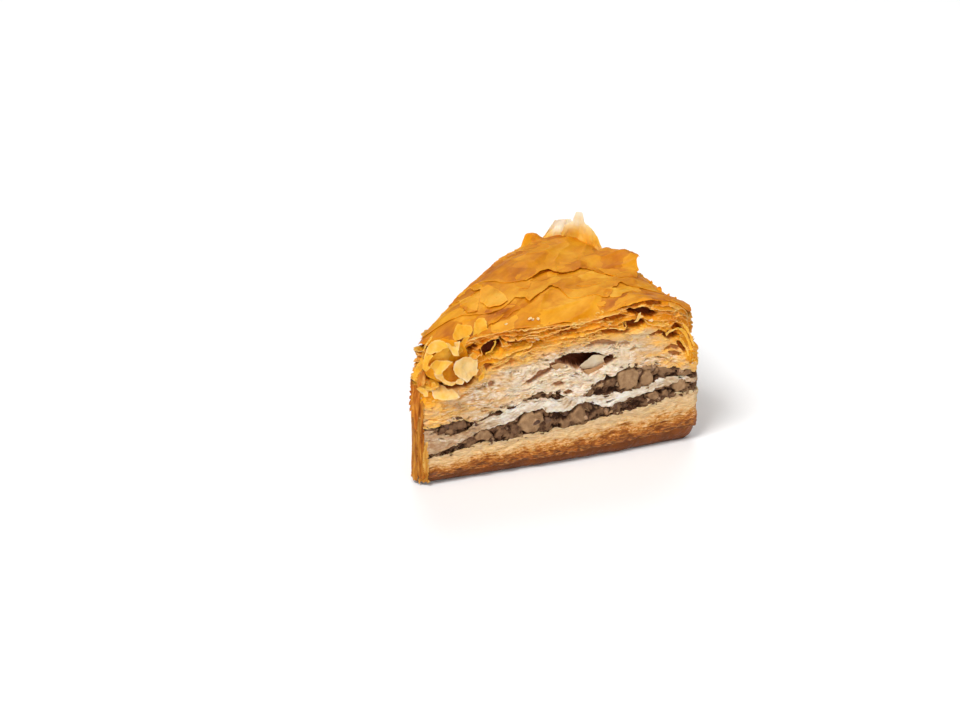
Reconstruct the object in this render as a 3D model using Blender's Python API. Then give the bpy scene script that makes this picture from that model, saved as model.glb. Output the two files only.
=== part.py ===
"""A three-cornered piece of walnut baklava, a cake tray's square cut along its diagonal.

Metres, +Z up. The long front cut lies along X and faces -Y, the piece stands on z = 0, and the
origin is under the middle of its box. From the dish up it is a syrup-soaked base of thin pastry
leaves, a layer of chopped walnuts, a thin pastry band, a second walnut layer and a deep stack of
leaves that turns from cream to golden under the crisp top. Each of the five is one solid.
"""

import math

import bmesh
import bpy
from mathutils import Vector, noise

MM = 0.001

# Footprint: a triangle with round corners. The left corner is the sharp one, the back one the apex.
FRONT_LENGTH = 63.5 * MM
LEFT_ANGLE = math.radians(44)
RIGHT_ANGLE = math.radians(84)
CORNER_RADII = (2.6 * MM, 2.6 * MM, 5.5 * MM)
SIDE_BULGE = 0.6 * MM
POINTS_AROUND = 84

# Height of each boundary at the left, right and back corner, and how far it swells between them.
CORNER_HEIGHTS = {
    "base_top": (3.7 * MM, 9.8 * MM, 6.5 * MM),
    "lower_nuts_top": (6.7 * MM, 12.1 * MM, 10.0 * MM),
    "middle_top": (8.4 * MM, 13.4 * MM, 12.0 * MM),
    "upper_nuts_top": (10.2 * MM, 15.2 * MM, 14.4 * MM),
    "crust": (27.6 * MM, 26.2 * MM, 26.8 * MM),
}
SWELLING = {
    "base_top": -0.3 * MM,
    "lower_nuts_top": 0.4 * MM,
    "middle_top": 0.9 * MM,
    "upper_nuts_top": 1.2 * MM,
    "crust": 4.2 * MM,
}
# Share of that swelling over the front, the right and the left side.
SIDE_FULLNESS = (1.0, 0.3, 1.1)
SEAM_GAP = 0.35 * MM
WAVE_HEIGHT = 0.45 * MM
WAVE_LENGTH = 13 * MM

# Underside: flat in the middle, with a round edge that lifts most at the right corner.
UNDERSIDE_EDGE = 0.9 * MM
RIGHT_CORNER_LIFT = 2.2 * MM

# Relief of the cut sides.
LEAF_LEDGE = 0.9 * MM
NUT_LUMP = 0.9 * MM
NUT_LENGTH = 5.5 * MM
SHOULDER_DROP = 1.5 * MM
POCKET_CENTRE = (3.5 * MM, 21.0 * MM)
POCKET_HALF_SIZE = (10.5 * MM, 1.9 * MM)
POCKET_DEPTH = 2.4 * MM

# Loose top leaves that stand off the crust.
FLAP_THICKNESS = 0.9 * MM
FLAP_ROOT = 2.5 * MM
FLAP_CURL = 0.8 * MM


def clear_scene():
    for obj in list(bpy.data.objects):
        bpy.data.objects.remove(obj)


def triangle():
    """Left, right and back corner of the sharp footprint, with the middle of its box at the origin."""
    apex_angle = math.pi - LEFT_ANGLE - RIGHT_ANGLE
    long_side = FRONT_LENGTH * math.sin(RIGHT_ANGLE) / math.sin(apex_angle)
    apex = Vector((long_side * math.cos(LEFT_ANGLE), long_side * math.sin(LEFT_ANGLE)))
    middle = Vector((FRONT_LENGTH / 2, apex.y / 2))
    return [Vector((0, 0)) - middle, Vector((FRONT_LENGTH, 0)) - middle, apex - middle]


CORNERS = triangle()
CENTRE = sum(CORNERS, Vector((0, 0))) / 3


def corner_shares(point):
    """How near a plan point is to the left, right and back corner, as three shares of one."""
    left, right, back = CORNERS
    across, up, here = right - left, back - left, point - left
    whole = across.cross(up)
    to_right, to_back = here.cross(up) / whole, across.cross(here) / whole
    return 1 - to_right - to_back, to_right, to_back


def corner_arc(corner, before, after, radius):
    """Centre and the two end directions of the arc that rounds one corner."""
    inward = ((before - corner).normalized() + (after - corner).normalized()).normalized()
    half = (before - corner).angle(after - corner) / 2
    centre = corner + inward * radius / math.sin(half)
    start = Vector((corner - before).normalized().orthogonal()) * -1
    end = Vector((after - corner).normalized().orthogonal()) * -1
    return centre, start, end


def outline():
    """Evenly spaced points round the footprint, anticlockwise from the left corner."""
    path = []
    for i, corner in enumerate(CORNERS):
        radius = CORNER_RADII[i]
        centre, start, end = corner_arc(corner, CORNERS[i - 1], CORNERS[(i + 1) % 3], radius)
        turn = start.angle_signed(end)
        steps = 12
        for step in range(steps + 1):
            angle = -turn * step / steps
            spoke = Vector((start.x * math.cos(angle) - start.y * math.sin(angle),
                            start.x * math.sin(angle) + start.y * math.cos(angle)))
            path.append(centre + spoke * radius)
    path.append(path[0])
    lengths = [(b - a).length for a, b in zip(path, path[1:])]
    spacing = sum(lengths) / POINTS_AROUND
    points, walked, leg = [], 0.0, 0
    for index in range(POINTS_AROUND):
        target = index * spacing
        while walked + lengths[leg] < target:
            walked += lengths[leg]
            leg += 1
        share = (target - walked) / lengths[leg]
        points.append(path[leg].lerp(path[leg + 1], share))
    return [swollen(point) for point in points]


def swollen(point):
    """A plan point moved out a little, most in the middle of a side."""
    left, right, back = corner_shares(point)
    middle = 4 * (left * right + right * back + back * left)
    return point + (point - CENTRE).normalized() * SIDE_BULGE * middle


def boundary(name, point):
    """Height of a boundary between two layers over a plan point."""
    shares = corner_shares(point)
    left, right, back = shares
    flat = sum(share * height for share, height in zip(shares, CORNER_HEIGHTS[name]))
    front_full, right_full, left_full = SIDE_FULLNESS
    fullness = 4 * (front_full * left * right + right_full * right * back + left_full * back * left)
    swell = SWELLING[name] * fullness
    wave = noise.noise(Vector((point.x / WAVE_LENGTH, point.y / WAVE_LENGTH, flat / WAVE_LENGTH)))
    return flat + swell + wave * WAVE_HEIGHT


def underside(point, edge):
    """Height of the underside: edge is 0 inside the flat and 1 on the outline."""
    lift = RIGHT_CORNER_LIFT * max(0.0, corner_shares(point)[1] - 0.8) / 0.2
    return edge * (UNDERSIDE_EDGE + lift)


def leaf_relief(point, height):
    """How far the stacked leaves stand out of a cut side."""
    ledge = noise.noise(Vector((point.x / (9 * MM), point.y / (9 * MM), height / (2.2 * MM))))
    return ledge * LEAF_LEDGE


def nut_relief(point, height):
    """How far the chopped walnuts stand out of a cut side."""
    lump = noise.noise(Vector((point.x, point.y, height)) / NUT_LENGTH * 2)
    return lump * NUT_LUMP


def pocket_relief(point, height):
    """The air pocket between the leaves of the front cut, as a shallow dent."""
    if point.y > CORNERS[0].y + CORNER_RADII[0]:
        return 0.0
    across = (point.x - POCKET_CENTRE[0]) / POCKET_HALF_SIZE[0]
    up = (height - POCKET_CENTRE[1]) / POCKET_HALF_SIZE[1]
    return -POCKET_DEPTH * math.exp(-2 * (across * across + up * up))


def scaled(points, share):
    return [CENTRE + (point - CENTRE) * share for point in points]


def flat_rings(points, shares, height_of):
    """Rings of a top or bottom face. height_of takes a plan point and its ring's share."""
    return [[(p.x, p.y, height_of(p, share)) for p in scaled(points, share)] for share in shares]


def wall_rings(points, low_ring, high_ring, rows, relief):
    """Rings between the two edge rings of a side wall, moved out by the relief."""
    rings = []
    for row in range(1, rows + 1):
        share = row / (rows + 1)
        ring = []
        for point, low, high in zip(points, low_ring, high_ring):
            height = low[2] + (high[2] - low[2]) * share
            plan = Vector(low[:2]).lerp(Vector(high[:2]), share)
            out = (point - CENTRE).normalized() * relief(point, height)
            ring.append((plan.x + out.x, plan.y + out.y, height))
        rings.append(ring)
    return rings


def closed_solid(name, rings, colour, roughness):
    """One object from rings that run from the middle of the underside to the middle of the top."""
    shape = bmesh.new()
    loops = [[shape.verts.new(co) for co in ring] for ring in rings]
    count = len(rings[0])
    for low, high in zip(loops, loops[1:]):
        for i in range(count):
            j = (i + 1) % count
            shape.faces.new((low[i], low[j], high[j], high[i]))
    for loop, turned in ((loops[0], True), (loops[-1], False)):
        middle = shape.verts.new(sum((v.co for v in loop), Vector()) / count)
        for i in range(count):
            j = (i + 1) % count
            corners = (loop[j], loop[i], middle) if turned else (loop[i], loop[j], middle)
            shape.faces.new(corners)
    mesh = bpy.data.meshes.new(name)
    shape.to_mesh(mesh)
    shape.free()
    mesh.shade_smooth()
    obj = bpy.data.objects.new(name, mesh)
    bpy.context.scene.collection.objects.link(obj)
    mesh.materials.append(plain_material(name, colour, roughness))
    return obj


def plain_material(name, colour, roughness):
    material = bpy.data.materials.new(name)
    material.use_nodes = True
    shader = material.node_tree.nodes["Principled BSDF"]
    shader.inputs["Base Color"].default_value = (*colour, 1)
    shader.inputs["Roughness"].default_value = roughness
    return material


def layer(name, below, above, rows, relief, colour, roughness):
    """A layer between two named boundaries, or from the dish up when below is None."""
    points = outline()
    if below:
        low_shares = (0.45, 0.82, 1.0)
        low = flat_rings(points, low_shares, lambda p, _: boundary(below, p) + SEAM_GAP / 2)
    else:
        low_shares = (0.5, 0.93, 1.0)
        low = flat_rings(points, low_shares, lambda p, share: underside(p, float(share == 1.0)))
    if above == "crust":
        high_shares = (1.0, 0.965, 0.88, 0.7, 0.5, 0.25)
        high = flat_rings(points, high_shares, crust_height)
    else:
        high_shares = (1.0, 0.82, 0.45)
        high = flat_rings(points, high_shares, lambda p, _: boundary(above, p) - SEAM_GAP / 2)
    wall = wall_rings(points, low[-1], high[0], rows, relief)
    return closed_solid(name, low + wall + high, colour, roughness)


def crust_height(point, share):
    """Height of the browned top, with its edge bent down into the cut."""
    drop = SHOULDER_DROP * max(0.0, (share - 0.93) / 0.07) ** 2
    fold = noise.noise(Vector((point.x, point.y, 0)) / (8 * MM)) * 0.8 * MM
    return boundary("crust", point) + fold - drop


def crust_relief(point, height):
    return leaf_relief(point, height) + pocket_relief(point, height)


def flap(name, root, along, width, reach, lean):
    """A curled plate that stands on the crust: root is its foot's middle, along its direction in
    plan, reach its height above the foot and lean how far its free edge tips out to the right."""
    columns, rows = 7, 4
    ahead = Vector((math.cos(along), math.sin(along), 0))
    aside = Vector((math.sin(along), -math.cos(along), 0))
    shape = bmesh.new()
    grid = []
    for row in range(rows + 1):
        up = row / rows
        narrowing = 1 - 0.55 * up * up
        line = []
        for column in range(columns + 1):
            across = 2 * column / columns - 1
            curl = FLAP_CURL * math.sin(across * math.pi) + lean * up * up
            place = root + ahead * across * width / 2 * narrowing + aside * curl
            height = (reach + FLAP_ROOT) * up * (1 - 0.25 * across * across) - FLAP_ROOT
            line.append(shape.verts.new((place.x, place.y, root.z + height)))
        grid.append(line)
    for low, high in zip(grid, grid[1:]):
        for i in range(columns):
            shape.faces.new((low[i], low[i + 1], high[i + 1], high[i]))
    mesh = bpy.data.meshes.new(name)
    shape.to_mesh(mesh)
    shape.free()
    obj = bpy.data.objects.new(name, mesh)
    bpy.context.scene.collection.objects.link(obj)
    solid = obj.modifiers.new("thickness", "SOLIDIFY")
    solid.thickness = FLAP_THICKNESS
    solid.offset = 0
    obj.hide_render = True
    obj.display_type = "WIRE"
    return obj


def on_crust(left, right, back):
    """A point of the browned top, by its shares of the three corners."""
    plan = CORNERS[0] * left + CORNERS[1] * right + CORNERS[2] * back
    return Vector((plan.x, plan.y, crust_height(plan, 0.8)))


def join_flap(crust, helper):
    union = crust.modifiers.new(helper.name, "BOOLEAN")
    union.operation = "UNION"
    union.solver = "EXACT"
    union.object = helper


def shift_to_origin(objects):
    """The move that brings the middle of the solids' box over the origin."""
    bpy.context.view_layer.update()
    graph = bpy.context.evaluated_depsgraph_get()
    points = []
    for obj in objects:
        mesh = obj.evaluated_get(graph).to_mesh()
        points += [obj.matrix_world @ vertex.co for vertex in mesh.vertices]
    middle_x = (min(p.x for p in points) + max(p.x for p in points)) / 2
    middle_y = (min(p.y for p in points) + max(p.y for p in points)) / 2
    return Vector((-middle_x, -middle_y, 0))


def main():
    clear_scene()
    solids = [
        layer("pastry_base", None, "base_top", 4, leaf_relief, (0.42, 0.21, 0.07), 0.45),
        layer("walnut_lower", "base_top", "lower_nuts_top", 2, nut_relief, (0.15, 0.08, 0.045), 0.7),
        layer("pastry_middle", "lower_nuts_top", "middle_top", 1, leaf_relief, (0.62, 0.5, 0.34), 0.6),
        layer("walnut_upper", "middle_top", "upper_nuts_top", 2, nut_relief, (0.17, 0.095, 0.055), 0.7),
    ]
    crust = layer("pastry_top", "upper_nuts_top", "crust", 10, crust_relief, (0.72, 0.34, 0.04), 0.4)
    solids.append(crust)
    helpers = [
        flap("apex_flap", on_crust(0.10, 0.145, 0.755), math.radians(-24), 12 * MM, 5.5 * MM, -1 * MM),
        flap("edge_flap", on_crust(0.06, 0.42, 0.52), math.radians(-80), 12 * MM, 3.2 * MM, -4.2 * MM),
        flap("left_curl", on_crust(0.86, 0.09, 0.05), math.radians(10), 9 * MM, 2 * MM, 3 * MM),
    ]
    for helper in helpers:
        join_flap(crust, helper)
    shift = shift_to_origin(solids)
    for obj in solids + helpers:
        obj.location = shift


main()
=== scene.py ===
"""A wedge of walnut baklava: its leaves, nuts, crust and loose flakes, with floor, light and camera.

Lengths are in metres. The long cut faces -Y, and its pointed end is on the left, at -X.
"""

import math
import random

import bmesh
import bpy
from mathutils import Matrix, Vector, noise
from mathutils.geometry import delaunay_2d_cdt


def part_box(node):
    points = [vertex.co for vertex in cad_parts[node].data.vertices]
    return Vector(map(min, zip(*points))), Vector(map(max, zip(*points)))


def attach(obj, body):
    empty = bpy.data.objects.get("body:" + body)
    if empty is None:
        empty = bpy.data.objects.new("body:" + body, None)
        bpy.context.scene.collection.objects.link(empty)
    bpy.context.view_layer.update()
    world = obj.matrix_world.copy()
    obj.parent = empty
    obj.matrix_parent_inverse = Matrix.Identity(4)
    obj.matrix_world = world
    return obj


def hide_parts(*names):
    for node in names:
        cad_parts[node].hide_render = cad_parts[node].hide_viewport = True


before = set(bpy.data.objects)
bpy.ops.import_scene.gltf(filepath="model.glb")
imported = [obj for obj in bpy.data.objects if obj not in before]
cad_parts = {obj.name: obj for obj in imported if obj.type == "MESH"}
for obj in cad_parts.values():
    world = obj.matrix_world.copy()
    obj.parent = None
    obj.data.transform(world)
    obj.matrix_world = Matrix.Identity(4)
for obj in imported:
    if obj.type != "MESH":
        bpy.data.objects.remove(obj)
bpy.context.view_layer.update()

MM = 0.001

# The vector noise draws its offsets at random unless its seed is set.
noise.seed_set(5)


# ---------------------------------------------------------------- node trees and maths

def sum_of(operation, turned=False):
    """A method of Wire that joins it with a number or another wire, which comes first if turned."""
    def method(self, other):
        first, second = (other, self) if turned else (self, other)
        return self.maths(operation, first, second)
    return method


class Wire:
    """An output of a node that joins in arithmetic: each sum adds one Math or Vector Math node."""

    def __init__(self, bench, socket):
        self.bench = bench
        self.socket = socket

    def is_vector(self):
        return self.socket.type in ("VECTOR", "RGBA")

    def maths(self, operation, first, second):
        if not any(isinstance(item, Wire) and item.is_vector() for item in (first, second)):
            return self.bench.add("ShaderNodeMath", {"operation": operation}, {0: first, 1: second})
        if operation == "MULTIPLY" and not (is_place(first) and is_place(second)):
            place, factor = (first, second) if is_place(first) else (second, first)
            return self.bench.add("ShaderNodeVectorMath", {"operation": "SCALE"},
                                  {"Vector": place, "Scale": factor})
        return self.bench.add("ShaderNodeVectorMath", {"operation": operation}, {0: first, 1: second})

    __add__, __radd__ = sum_of("ADD"), sum_of("ADD", True)
    __sub__, __rsub__ = sum_of("SUBTRACT"), sum_of("SUBTRACT", True)
    __mul__, __rmul__ = sum_of("MULTIPLY"), sum_of("MULTIPLY", True)
    at_least, at_most, above = sum_of("MAXIMUM"), sum_of("MINIMUM"), sum_of("GREATER_THAN")

    def ramp(self, low, high):
        """Zero below low, one above high, and a soft rise between."""
        return self.bench.add("ShaderNodeMapRange", {"interpolation_type": "SMOOTHSTEP"},
                              {"Value": self, 1: low, 2: high, 3: 0.0, 4: 1.0})

    def dot(self, other):
        return self.bench.add("ShaderNodeVectorMath", {"operation": "DOT_PRODUCT"},
                              {0: self, 1: other}, "Value")

    def unit(self):
        return self.bench.add("ShaderNodeVectorMath", {"operation": "NORMALIZE"}, {0: self})


def is_place(item):
    """Whether an operand is a vector rather than a number."""
    return item.is_vector() if isinstance(item, Wire) else hasattr(item, "__len__")


class Bench:
    """A node tree being put together."""

    def __init__(self, tree):
        self.tree = tree

    def pick(self, sockets, key):
        if isinstance(key, int):
            return sockets[key]
        named = [s for s in sockets if s.enabled and (key is None or s.name == key)]
        return named[0]

    def add(self, kind, settings=None, values=None, out=None):
        """A new node with its settings and then its sockets filled, as the wire of one output."""
        node = self.tree.nodes.new(kind)
        for name, value in (settings or {}).items():
            if name == "stops":
                fill_ramp(node.color_ramp, value)
            else:
                setattr(node, name, value)
        for key, value in (values or {}).items():
            socket = self.pick(node.inputs, key)
            if isinstance(value, Wire):
                self.tree.links.new(value.socket, socket)
            else:
                socket.default_value = value
        return Wire(self, self.pick(node.outputs, out))

    def join(self, x, y, z):
        return self.add("ShaderNodeCombineXYZ", None, {"X": x, "Y": y, "Z": z})

    def parts(self, place):
        first = self.add("ShaderNodeSeparateXYZ", None, {"Vector": place}, "X")
        outputs = first.socket.node.outputs
        return first, Wire(self, outputs["Y"]), Wire(self, outputs["Z"])

    def grain(self, place, size, detail=1.0):
        """Noise around zero, mostly between -1 and 1, with lumps of the given size."""
        wave = self.add("ShaderNodeTexNoise", None,
                        {"Vector": place, "Scale": 1.0 / size, "Detail": detail}, "Fac")
        return (wave - 0.5) * 3.2

    def mix(self, share, first, second, how="MIX"):
        return self.add("ShaderNodeMix", {"data_type": "RGBA", "blend_type": how},
                        {0: share, 6: first, 7: second}, 2)


def fill_ramp(ramp, stops):
    while len(ramp.elements) < len(stops):
        ramp.elements.new(0.5)
    for element, (where, colour) in zip(ramp.elements, stops):
        element.position = where
        element.color = colour


def tone(red, green, blue):
    """A colour as it looks on a screen, made linear for a shader."""
    def linear(value):
        value /= 255
        return value / 12.92 if value <= 0.04045 else ((value + 0.055) / 1.055) ** 2.4
    return (linear(red), linear(green), linear(blue), 1.0)


# ---------------------------------------------------------------- objects

def new_object(name, data):
    obj = bpy.data.objects.new(name, data)
    bpy.context.scene.collection.objects.link(obj)
    return obj


def mesh_of(name, points, faces):
    mesh = bpy.data.meshes.new(name)
    mesh.from_pydata([tuple(p) for p in points], [], faces)
    mesh.update()
    return mesh


def note(mesh, name, values):
    """Keeps a number, or a vector, for each point of a mesh."""
    vector = hasattr(values[0], "__len__")
    layer = mesh.attributes.new(name, "FLOAT_VECTOR" if vector else "FLOAT", "POINT")
    if vector:
        layer.data.foreach_set("vector", [c for value in values for c in value])
    else:
        layer.data.foreach_set("value", values)


def plain(obj, crease):
    """The object with its modifiers worked in, as a plain mesh under the same name."""
    name = obj.name
    graph = bpy.context.evaluated_depsgraph_get()
    mesh = bpy.data.meshes.new_from_object(obj.evaluated_get(graph))
    bpy.data.objects.remove(obj)
    mesh.name = name
    mesh.polygons.foreach_set("use_smooth", [True] * len(mesh.polygons))
    mesh.set_sharp_from_angle(angle=math.radians(crease))
    return new_object(name, mesh)


def thicken(obj, thickness, offset=0.0):
    wall = obj.modifiers.new("thickness", "SOLIDIFY")
    wall.thickness = thickness
    wall.offset = offset


def run_tree(obj, tree, **inputs):
    """Adds the tree to an object as a modifier, with its inputs set by their identifiers."""
    step = obj.modifiers.new(tree.name, "NODES")
    step.node_group = tree
    known = {item.name: item.identifier for item in tree.interface.items_tree
             if item.item_type == "SOCKET" and item.in_out == "INPUT"}
    for name, value in inputs.items():
        step[known[name]] = value


def new_tree(name, **inputs):
    """A Geometry Nodes tree with named number inputs, its bench and the wires of those inputs."""
    tree = bpy.data.node_groups.new(name, "GeometryNodeTree")
    tree.interface.new_socket("Geometry", in_out="INPUT", socket_type="NodeSocketGeometry")
    tree.interface.new_socket("Geometry", in_out="OUTPUT", socket_type="NodeSocketGeometry")
    for label, value in inputs.items():
        kind = {float: "Float", int: "Int", type(None): "Material"}[type(value)]
        socket = tree.interface.new_socket(label, in_out="INPUT", socket_type="NodeSocket" + kind)
        if value is not None:
            socket.default_value = value
    bench = Bench(tree)
    source = tree.nodes.new("NodeGroupInput")
    wires = {s.name: Wire(bench, s) for s in source.outputs if s.name}
    return tree, bench, wires


def hand_over(bench, geometry):
    sink = bench.tree.nodes.new("NodeGroupOutput")
    bench.tree.links.new(geometry.socket, sink.inputs[0])


def shown(obj, node):
    """Puts a finished piece on the body, in place of a solid of the frame."""
    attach(obj, "root")
    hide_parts(node)
    return obj


def closed_rings(name, points, count, bottom, top, material, marks=()):
    """A closed object of rings of count points, from the lowest up, with a middle point at each end."""
    rows = len(points) // count - 1
    faces = []
    for row in range(rows):
        for i in range(count):
            j = (i + 1) % count
            a, b = row * count, (row + 1) * count
            faces.append((a + i, a + j, b + j, b + i))
    for row, order, height in ((0, -1, bottom), (rows, 1, top)):
        hub = len(points)
        points.append((CENTRE.x, CENTRE.y, height))
        for i in range(count):
            faces.append((row * count + i, row * count + (i + 1) % count, hub)[::order])
    mesh = mesh_of(name, points, faces)
    for mark in marks:
        note(mesh, mark, marks[mark] + [0.0, 0.0])
    mesh.materials.append(material)
    mesh.polygons.foreach_set("use_smooth", [True] * len(mesh.polygons))
    return new_object(name, mesh)


def sheet_faces(rows, steps):
    """Faces of a sheet of rows, each with its points side by side."""
    corners = [row * (steps + 1) + step for row in range(rows) for step in range(steps)]
    return [(a, a + 1, a + steps + 2, a + steps + 1) for a in corners]


def joined(name, objects):
    """Several finished pieces as one object."""
    whole = bmesh.new()
    materials = []
    for obj in objects:
        start = len(whole.faces)
        whole.from_mesh(obj.data)
        whole.faces.ensure_lookup_table()
        if obj.data.materials[0] not in materials:
            materials.append(obj.data.materials[0])
        for face in whole.faces[start:]:
            face.material_index = materials.index(obj.data.materials[0])
        bpy.data.objects.remove(obj)
    mesh = bpy.data.meshes.new(name)
    whole.to_mesh(mesh)
    whole.free()
    for material in materials:
        mesh.materials.append(material)
    return new_object(name, mesh)


# ---------------------------------------------------------------- the wedge's shape

base_low, base_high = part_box("pastry_base")
LEFT = Vector((base_low.x - 3.45 * MM, base_low.y + 0.96 * MM))
RIGHT = Vector((base_high.x + 0.06 * MM, LEFT.y))
BACK = Vector((base_high.x - 5.79 * MM, base_high.y + 5.92 * MM))
CORNERS = (LEFT, RIGHT, BACK)
CORNER_RADII = (2.6 * MM, 2.6 * MM, 5.5 * MM)
ARC_STEPS = 24
CENTRE = (LEFT + RIGHT + BACK) / 3
SIDE_BULGE = 0.6 * MM
SIDE_FULLNESS = (1.0, 0.3, 1.1)

# Heights over the left, right and back corner, and the swelling between them.
LEVELS = {
    "floor": ((0.0, 0.0, 0.0), 0.0),
    "base_top": ((3.7, 9.8, 6.5), -0.3),
    "lower_nuts_top": ((6.7, 12.1, 10.0), 0.4),
    "middle_top": ((8.4, 13.4, 12.0), 0.9),
    "upper_nuts_top": ((10.2, 15.2, 14.4), 1.2),
    "crust": ((27.6, 26.2, 26.8), 4.2),
}

# Heights of the boundaries along the front cut, in millimetres.
FRONT_LEVELS = {
    "base_top": ((-29.4, 5.5), (-25.6, 5.8), (-21.8, 6.4), (-18.9, 7.3), (-16, 7.1), (-14.1, 6.9),
        (-10.3, 7), (-8.3, 7.5), (-5.4, 7.4), (-2.5, 7.5), (1.4, 7.5), (5.3, 8), (9.2, 8.5), (13.2, 8.9),
        (17.1, 9.2), (20.1, 9.6), (22.1, 10.3), (25, 10.7), (29, 10.7)),
    "lower_nuts_top": ((-29.4, 6.3), (-25.6, 7), (-21.8, 8.1), (-18.9, 9.7), (-16, 10.2), (-13.2, 10.6),
        (-10.3, 11.4), (-8.8, 12.5), (-6.4, 12.8), (-4.5, 12.6), (-3.5, 11.9), (-0.6, 11.5), (1.4, 11.6),
        (2.8, 12.6), (4.8, 12.9), (6.2, 11.9), (7.7, 11.2), (9.2, 10.7), (12.1, 11.2), (15.1, 11.6),
        (17.1, 12.2), (19, 12.7), (22, 13.2), (24, 13.1), (25.5, 14), (27, 13.4), (29, 12.8)),
    "middle_top": ((-29.4, 11.8), (-27.3, 11.8), (-26.3, 10.4), (-23.7, 10), (-20.8, 10.2), (-18.9, 11.6),
        (-17, 12.3), (-15.6, 12.6), (-14, 12.8), (-12.8, 13.2), (-10.3, 14), (-8.4, 15), (-6.4, 15.1),
        (-4.5, 14.8), (-2.6, 14.4), (1.3, 14.3), (3.3, 14.2), (5.2, 13.9), (7.2, 13.5), (11.1, 13.5),
        (13.1, 13.1), (15.1, 13.3), (17, 13.7), (19, 14.2), (21, 14.8), (22.9, 14.9), (24.9, 14.8),
        (26.9, 14.1), (29, 13.5)),
    "upper_nuts_top": ((-29.4, 12), (-27.5, 12.5), (-25.6, 12.7), (-23.7, 12.9), (-21.8, 13.4),
        (-19.9, 13.1), (-18.4, 12.1), (-16.5, 12.7), (-15, 13.6), (-13.4, 14.1), (-12.4, 13.7),
        (-10.3, 14.4), (-8.4, 15.6), (-6.4, 16.4), (-4.5, 16.4), (-2.6, 15.8), (-0.6, 15.4), (1.3, 14.9),
        (3.3, 14.5), (5.2, 15.1), (7.2, 16.5), (9.1, 17.5), (11.1, 17.5), (13, 18.5), (15, 18.4),
        (16.9, 18.1), (18.9, 18.6), (20.2, 18.4), (20.9, 17.6), (22.9, 17.2), (24.9, 16.7), (26.9, 16.1),
        (28.9, 15.2)),
}

# Where the crust swells near the front cut: middle, half width and rise, in millimetres.
CRUST_RISES = ((-13, 9, -0.4), (16, 7, 2.0))
RIPPLE_DEPTH = 9 * MM
FRONT_DEPTH = 6.0 * MM
FRONT_STRIP = 2 * MM
SHOULDER_WIDTH = 5 * MM

# How far the crust falls off at its rim along the front cut, in millimetres.
FRONT_DROP = (
    (-29.2, 1.5), (-25.5, 0.9), (-20.8, 0.2), (-16.1, -0.1), (-10.3, 0.2), (-5.6, 0.7), (-0.8, 0.9),
    (3.1, 0.9), (7, 0.5), (8.9, 0.2), (10.9, 0.3), (15.7, 0.4), (16.7, -0.2), (18.7, -1.2), (20.6, -1.7),
    (22.6, -2.0), (24.6, -2.0), (26.6, -1.2), (28.5, -0.4)
)


def between(table, x):
    """A value read off a table of (x, value) pairs."""
    if x <= table[0][0]:
        return table[0][1]
    for (x0, y0), (x1, y1) in zip(table, table[1:]):
        if x <= x1:
            return y0 + (y1 - y0) * (x - x0) / (x1 - x0)
    return table[-1][1]


def waves(*place):
    """Smooth noise around zero at a place of three numbers."""
    return noise.noise(Vector(place))


def clamp(value):
    return min(1.0, max(0.0, value))


def front_share(point):
    """One at the front cut, fading to zero a few millimetres behind it."""
    return math.exp(-(max(0.0, point.y - LEFT.y) / FRONT_DEPTH) ** 2)


def on_front(place):
    """Whether a place on the rim belongs to the front cut."""
    return place.y < LEFT.y + FRONT_STRIP


def shares_of(point):
    """How near a plan point is to the left, right and back corner, as three shares of one."""
    across, up, here = RIGHT - LEFT, BACK - LEFT, point - LEFT
    whole = across.cross(up)
    to_right, to_back = here.cross(up) / whole, across.cross(here) / whole
    return 1 - to_right - to_back, to_right, to_back


def edge_distance(point):
    """Distance from a plan point to the nearest of the three sides."""
    nearest = 1.0
    for start, end in zip(CORNERS, (RIGHT, BACK, LEFT)):
        along = (end - start).normalized()
        nearest = min(nearest, along.cross(point - start))
    return nearest


def level(name, point):
    """Height of a boundary between two layers over a plan point."""
    heights, swelling = LEVELS[name]
    left, right, back = shares_of(point)
    front_full, right_full, left_full = SIDE_FULLNESS
    fullness = 4 * (front_full * left * right + right_full * right * back + left_full * back * left)
    height = left * heights[0] + right * heights[1] + back * heights[2] + swelling * fullness
    if name in FRONT_LEVELS:
        front = front_share(point)
        height = front * between(FRONT_LEVELS[name], point.x / MM) + (1 - front) * height
        layer = len(name)
        height += 0.5 * noise.noise(Vector((point.x, point.y, layer * MM)) / (1.5 * MM))
        height += 0.3 * noise.noise(Vector((point.x, point.y, layer * MM)) / (0.55 * MM))
    elif name == "crust":
        nearness = math.exp(-((point.y - LEFT.y) / RIPPLE_DEPTH) ** 2)
        for where, half_width, rise in CRUST_RISES:
            height += rise * nearness * math.exp(-((point.x / MM - where) / half_width) ** 2)
    return height * MM


def crust_height(point):
    """Height of the browned top, which falls off towards its rim."""
    near = max(0.0, 1 - max(0.0, edge_distance(point)) / SHOULDER_WIDTH)
    front = front_share(point)
    side = 1.6 - 1.9 * math.exp(-((point - RIGHT).length / (10 * MM)) ** 2)
    drop = front * between(FRONT_DROP, point.x / MM) + (1 - front) * side
    drop += 1.5 * math.exp(-((point - RIGHT).length / (3.2 * MM)) ** 2)
    return level("crust", point) - drop * MM * near * near


def layer_top(name, point):
    """Height of a layer's top: the crust's falls off towards its rim."""
    return crust_height(point) if name == "crust" else level(name, point)


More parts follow.
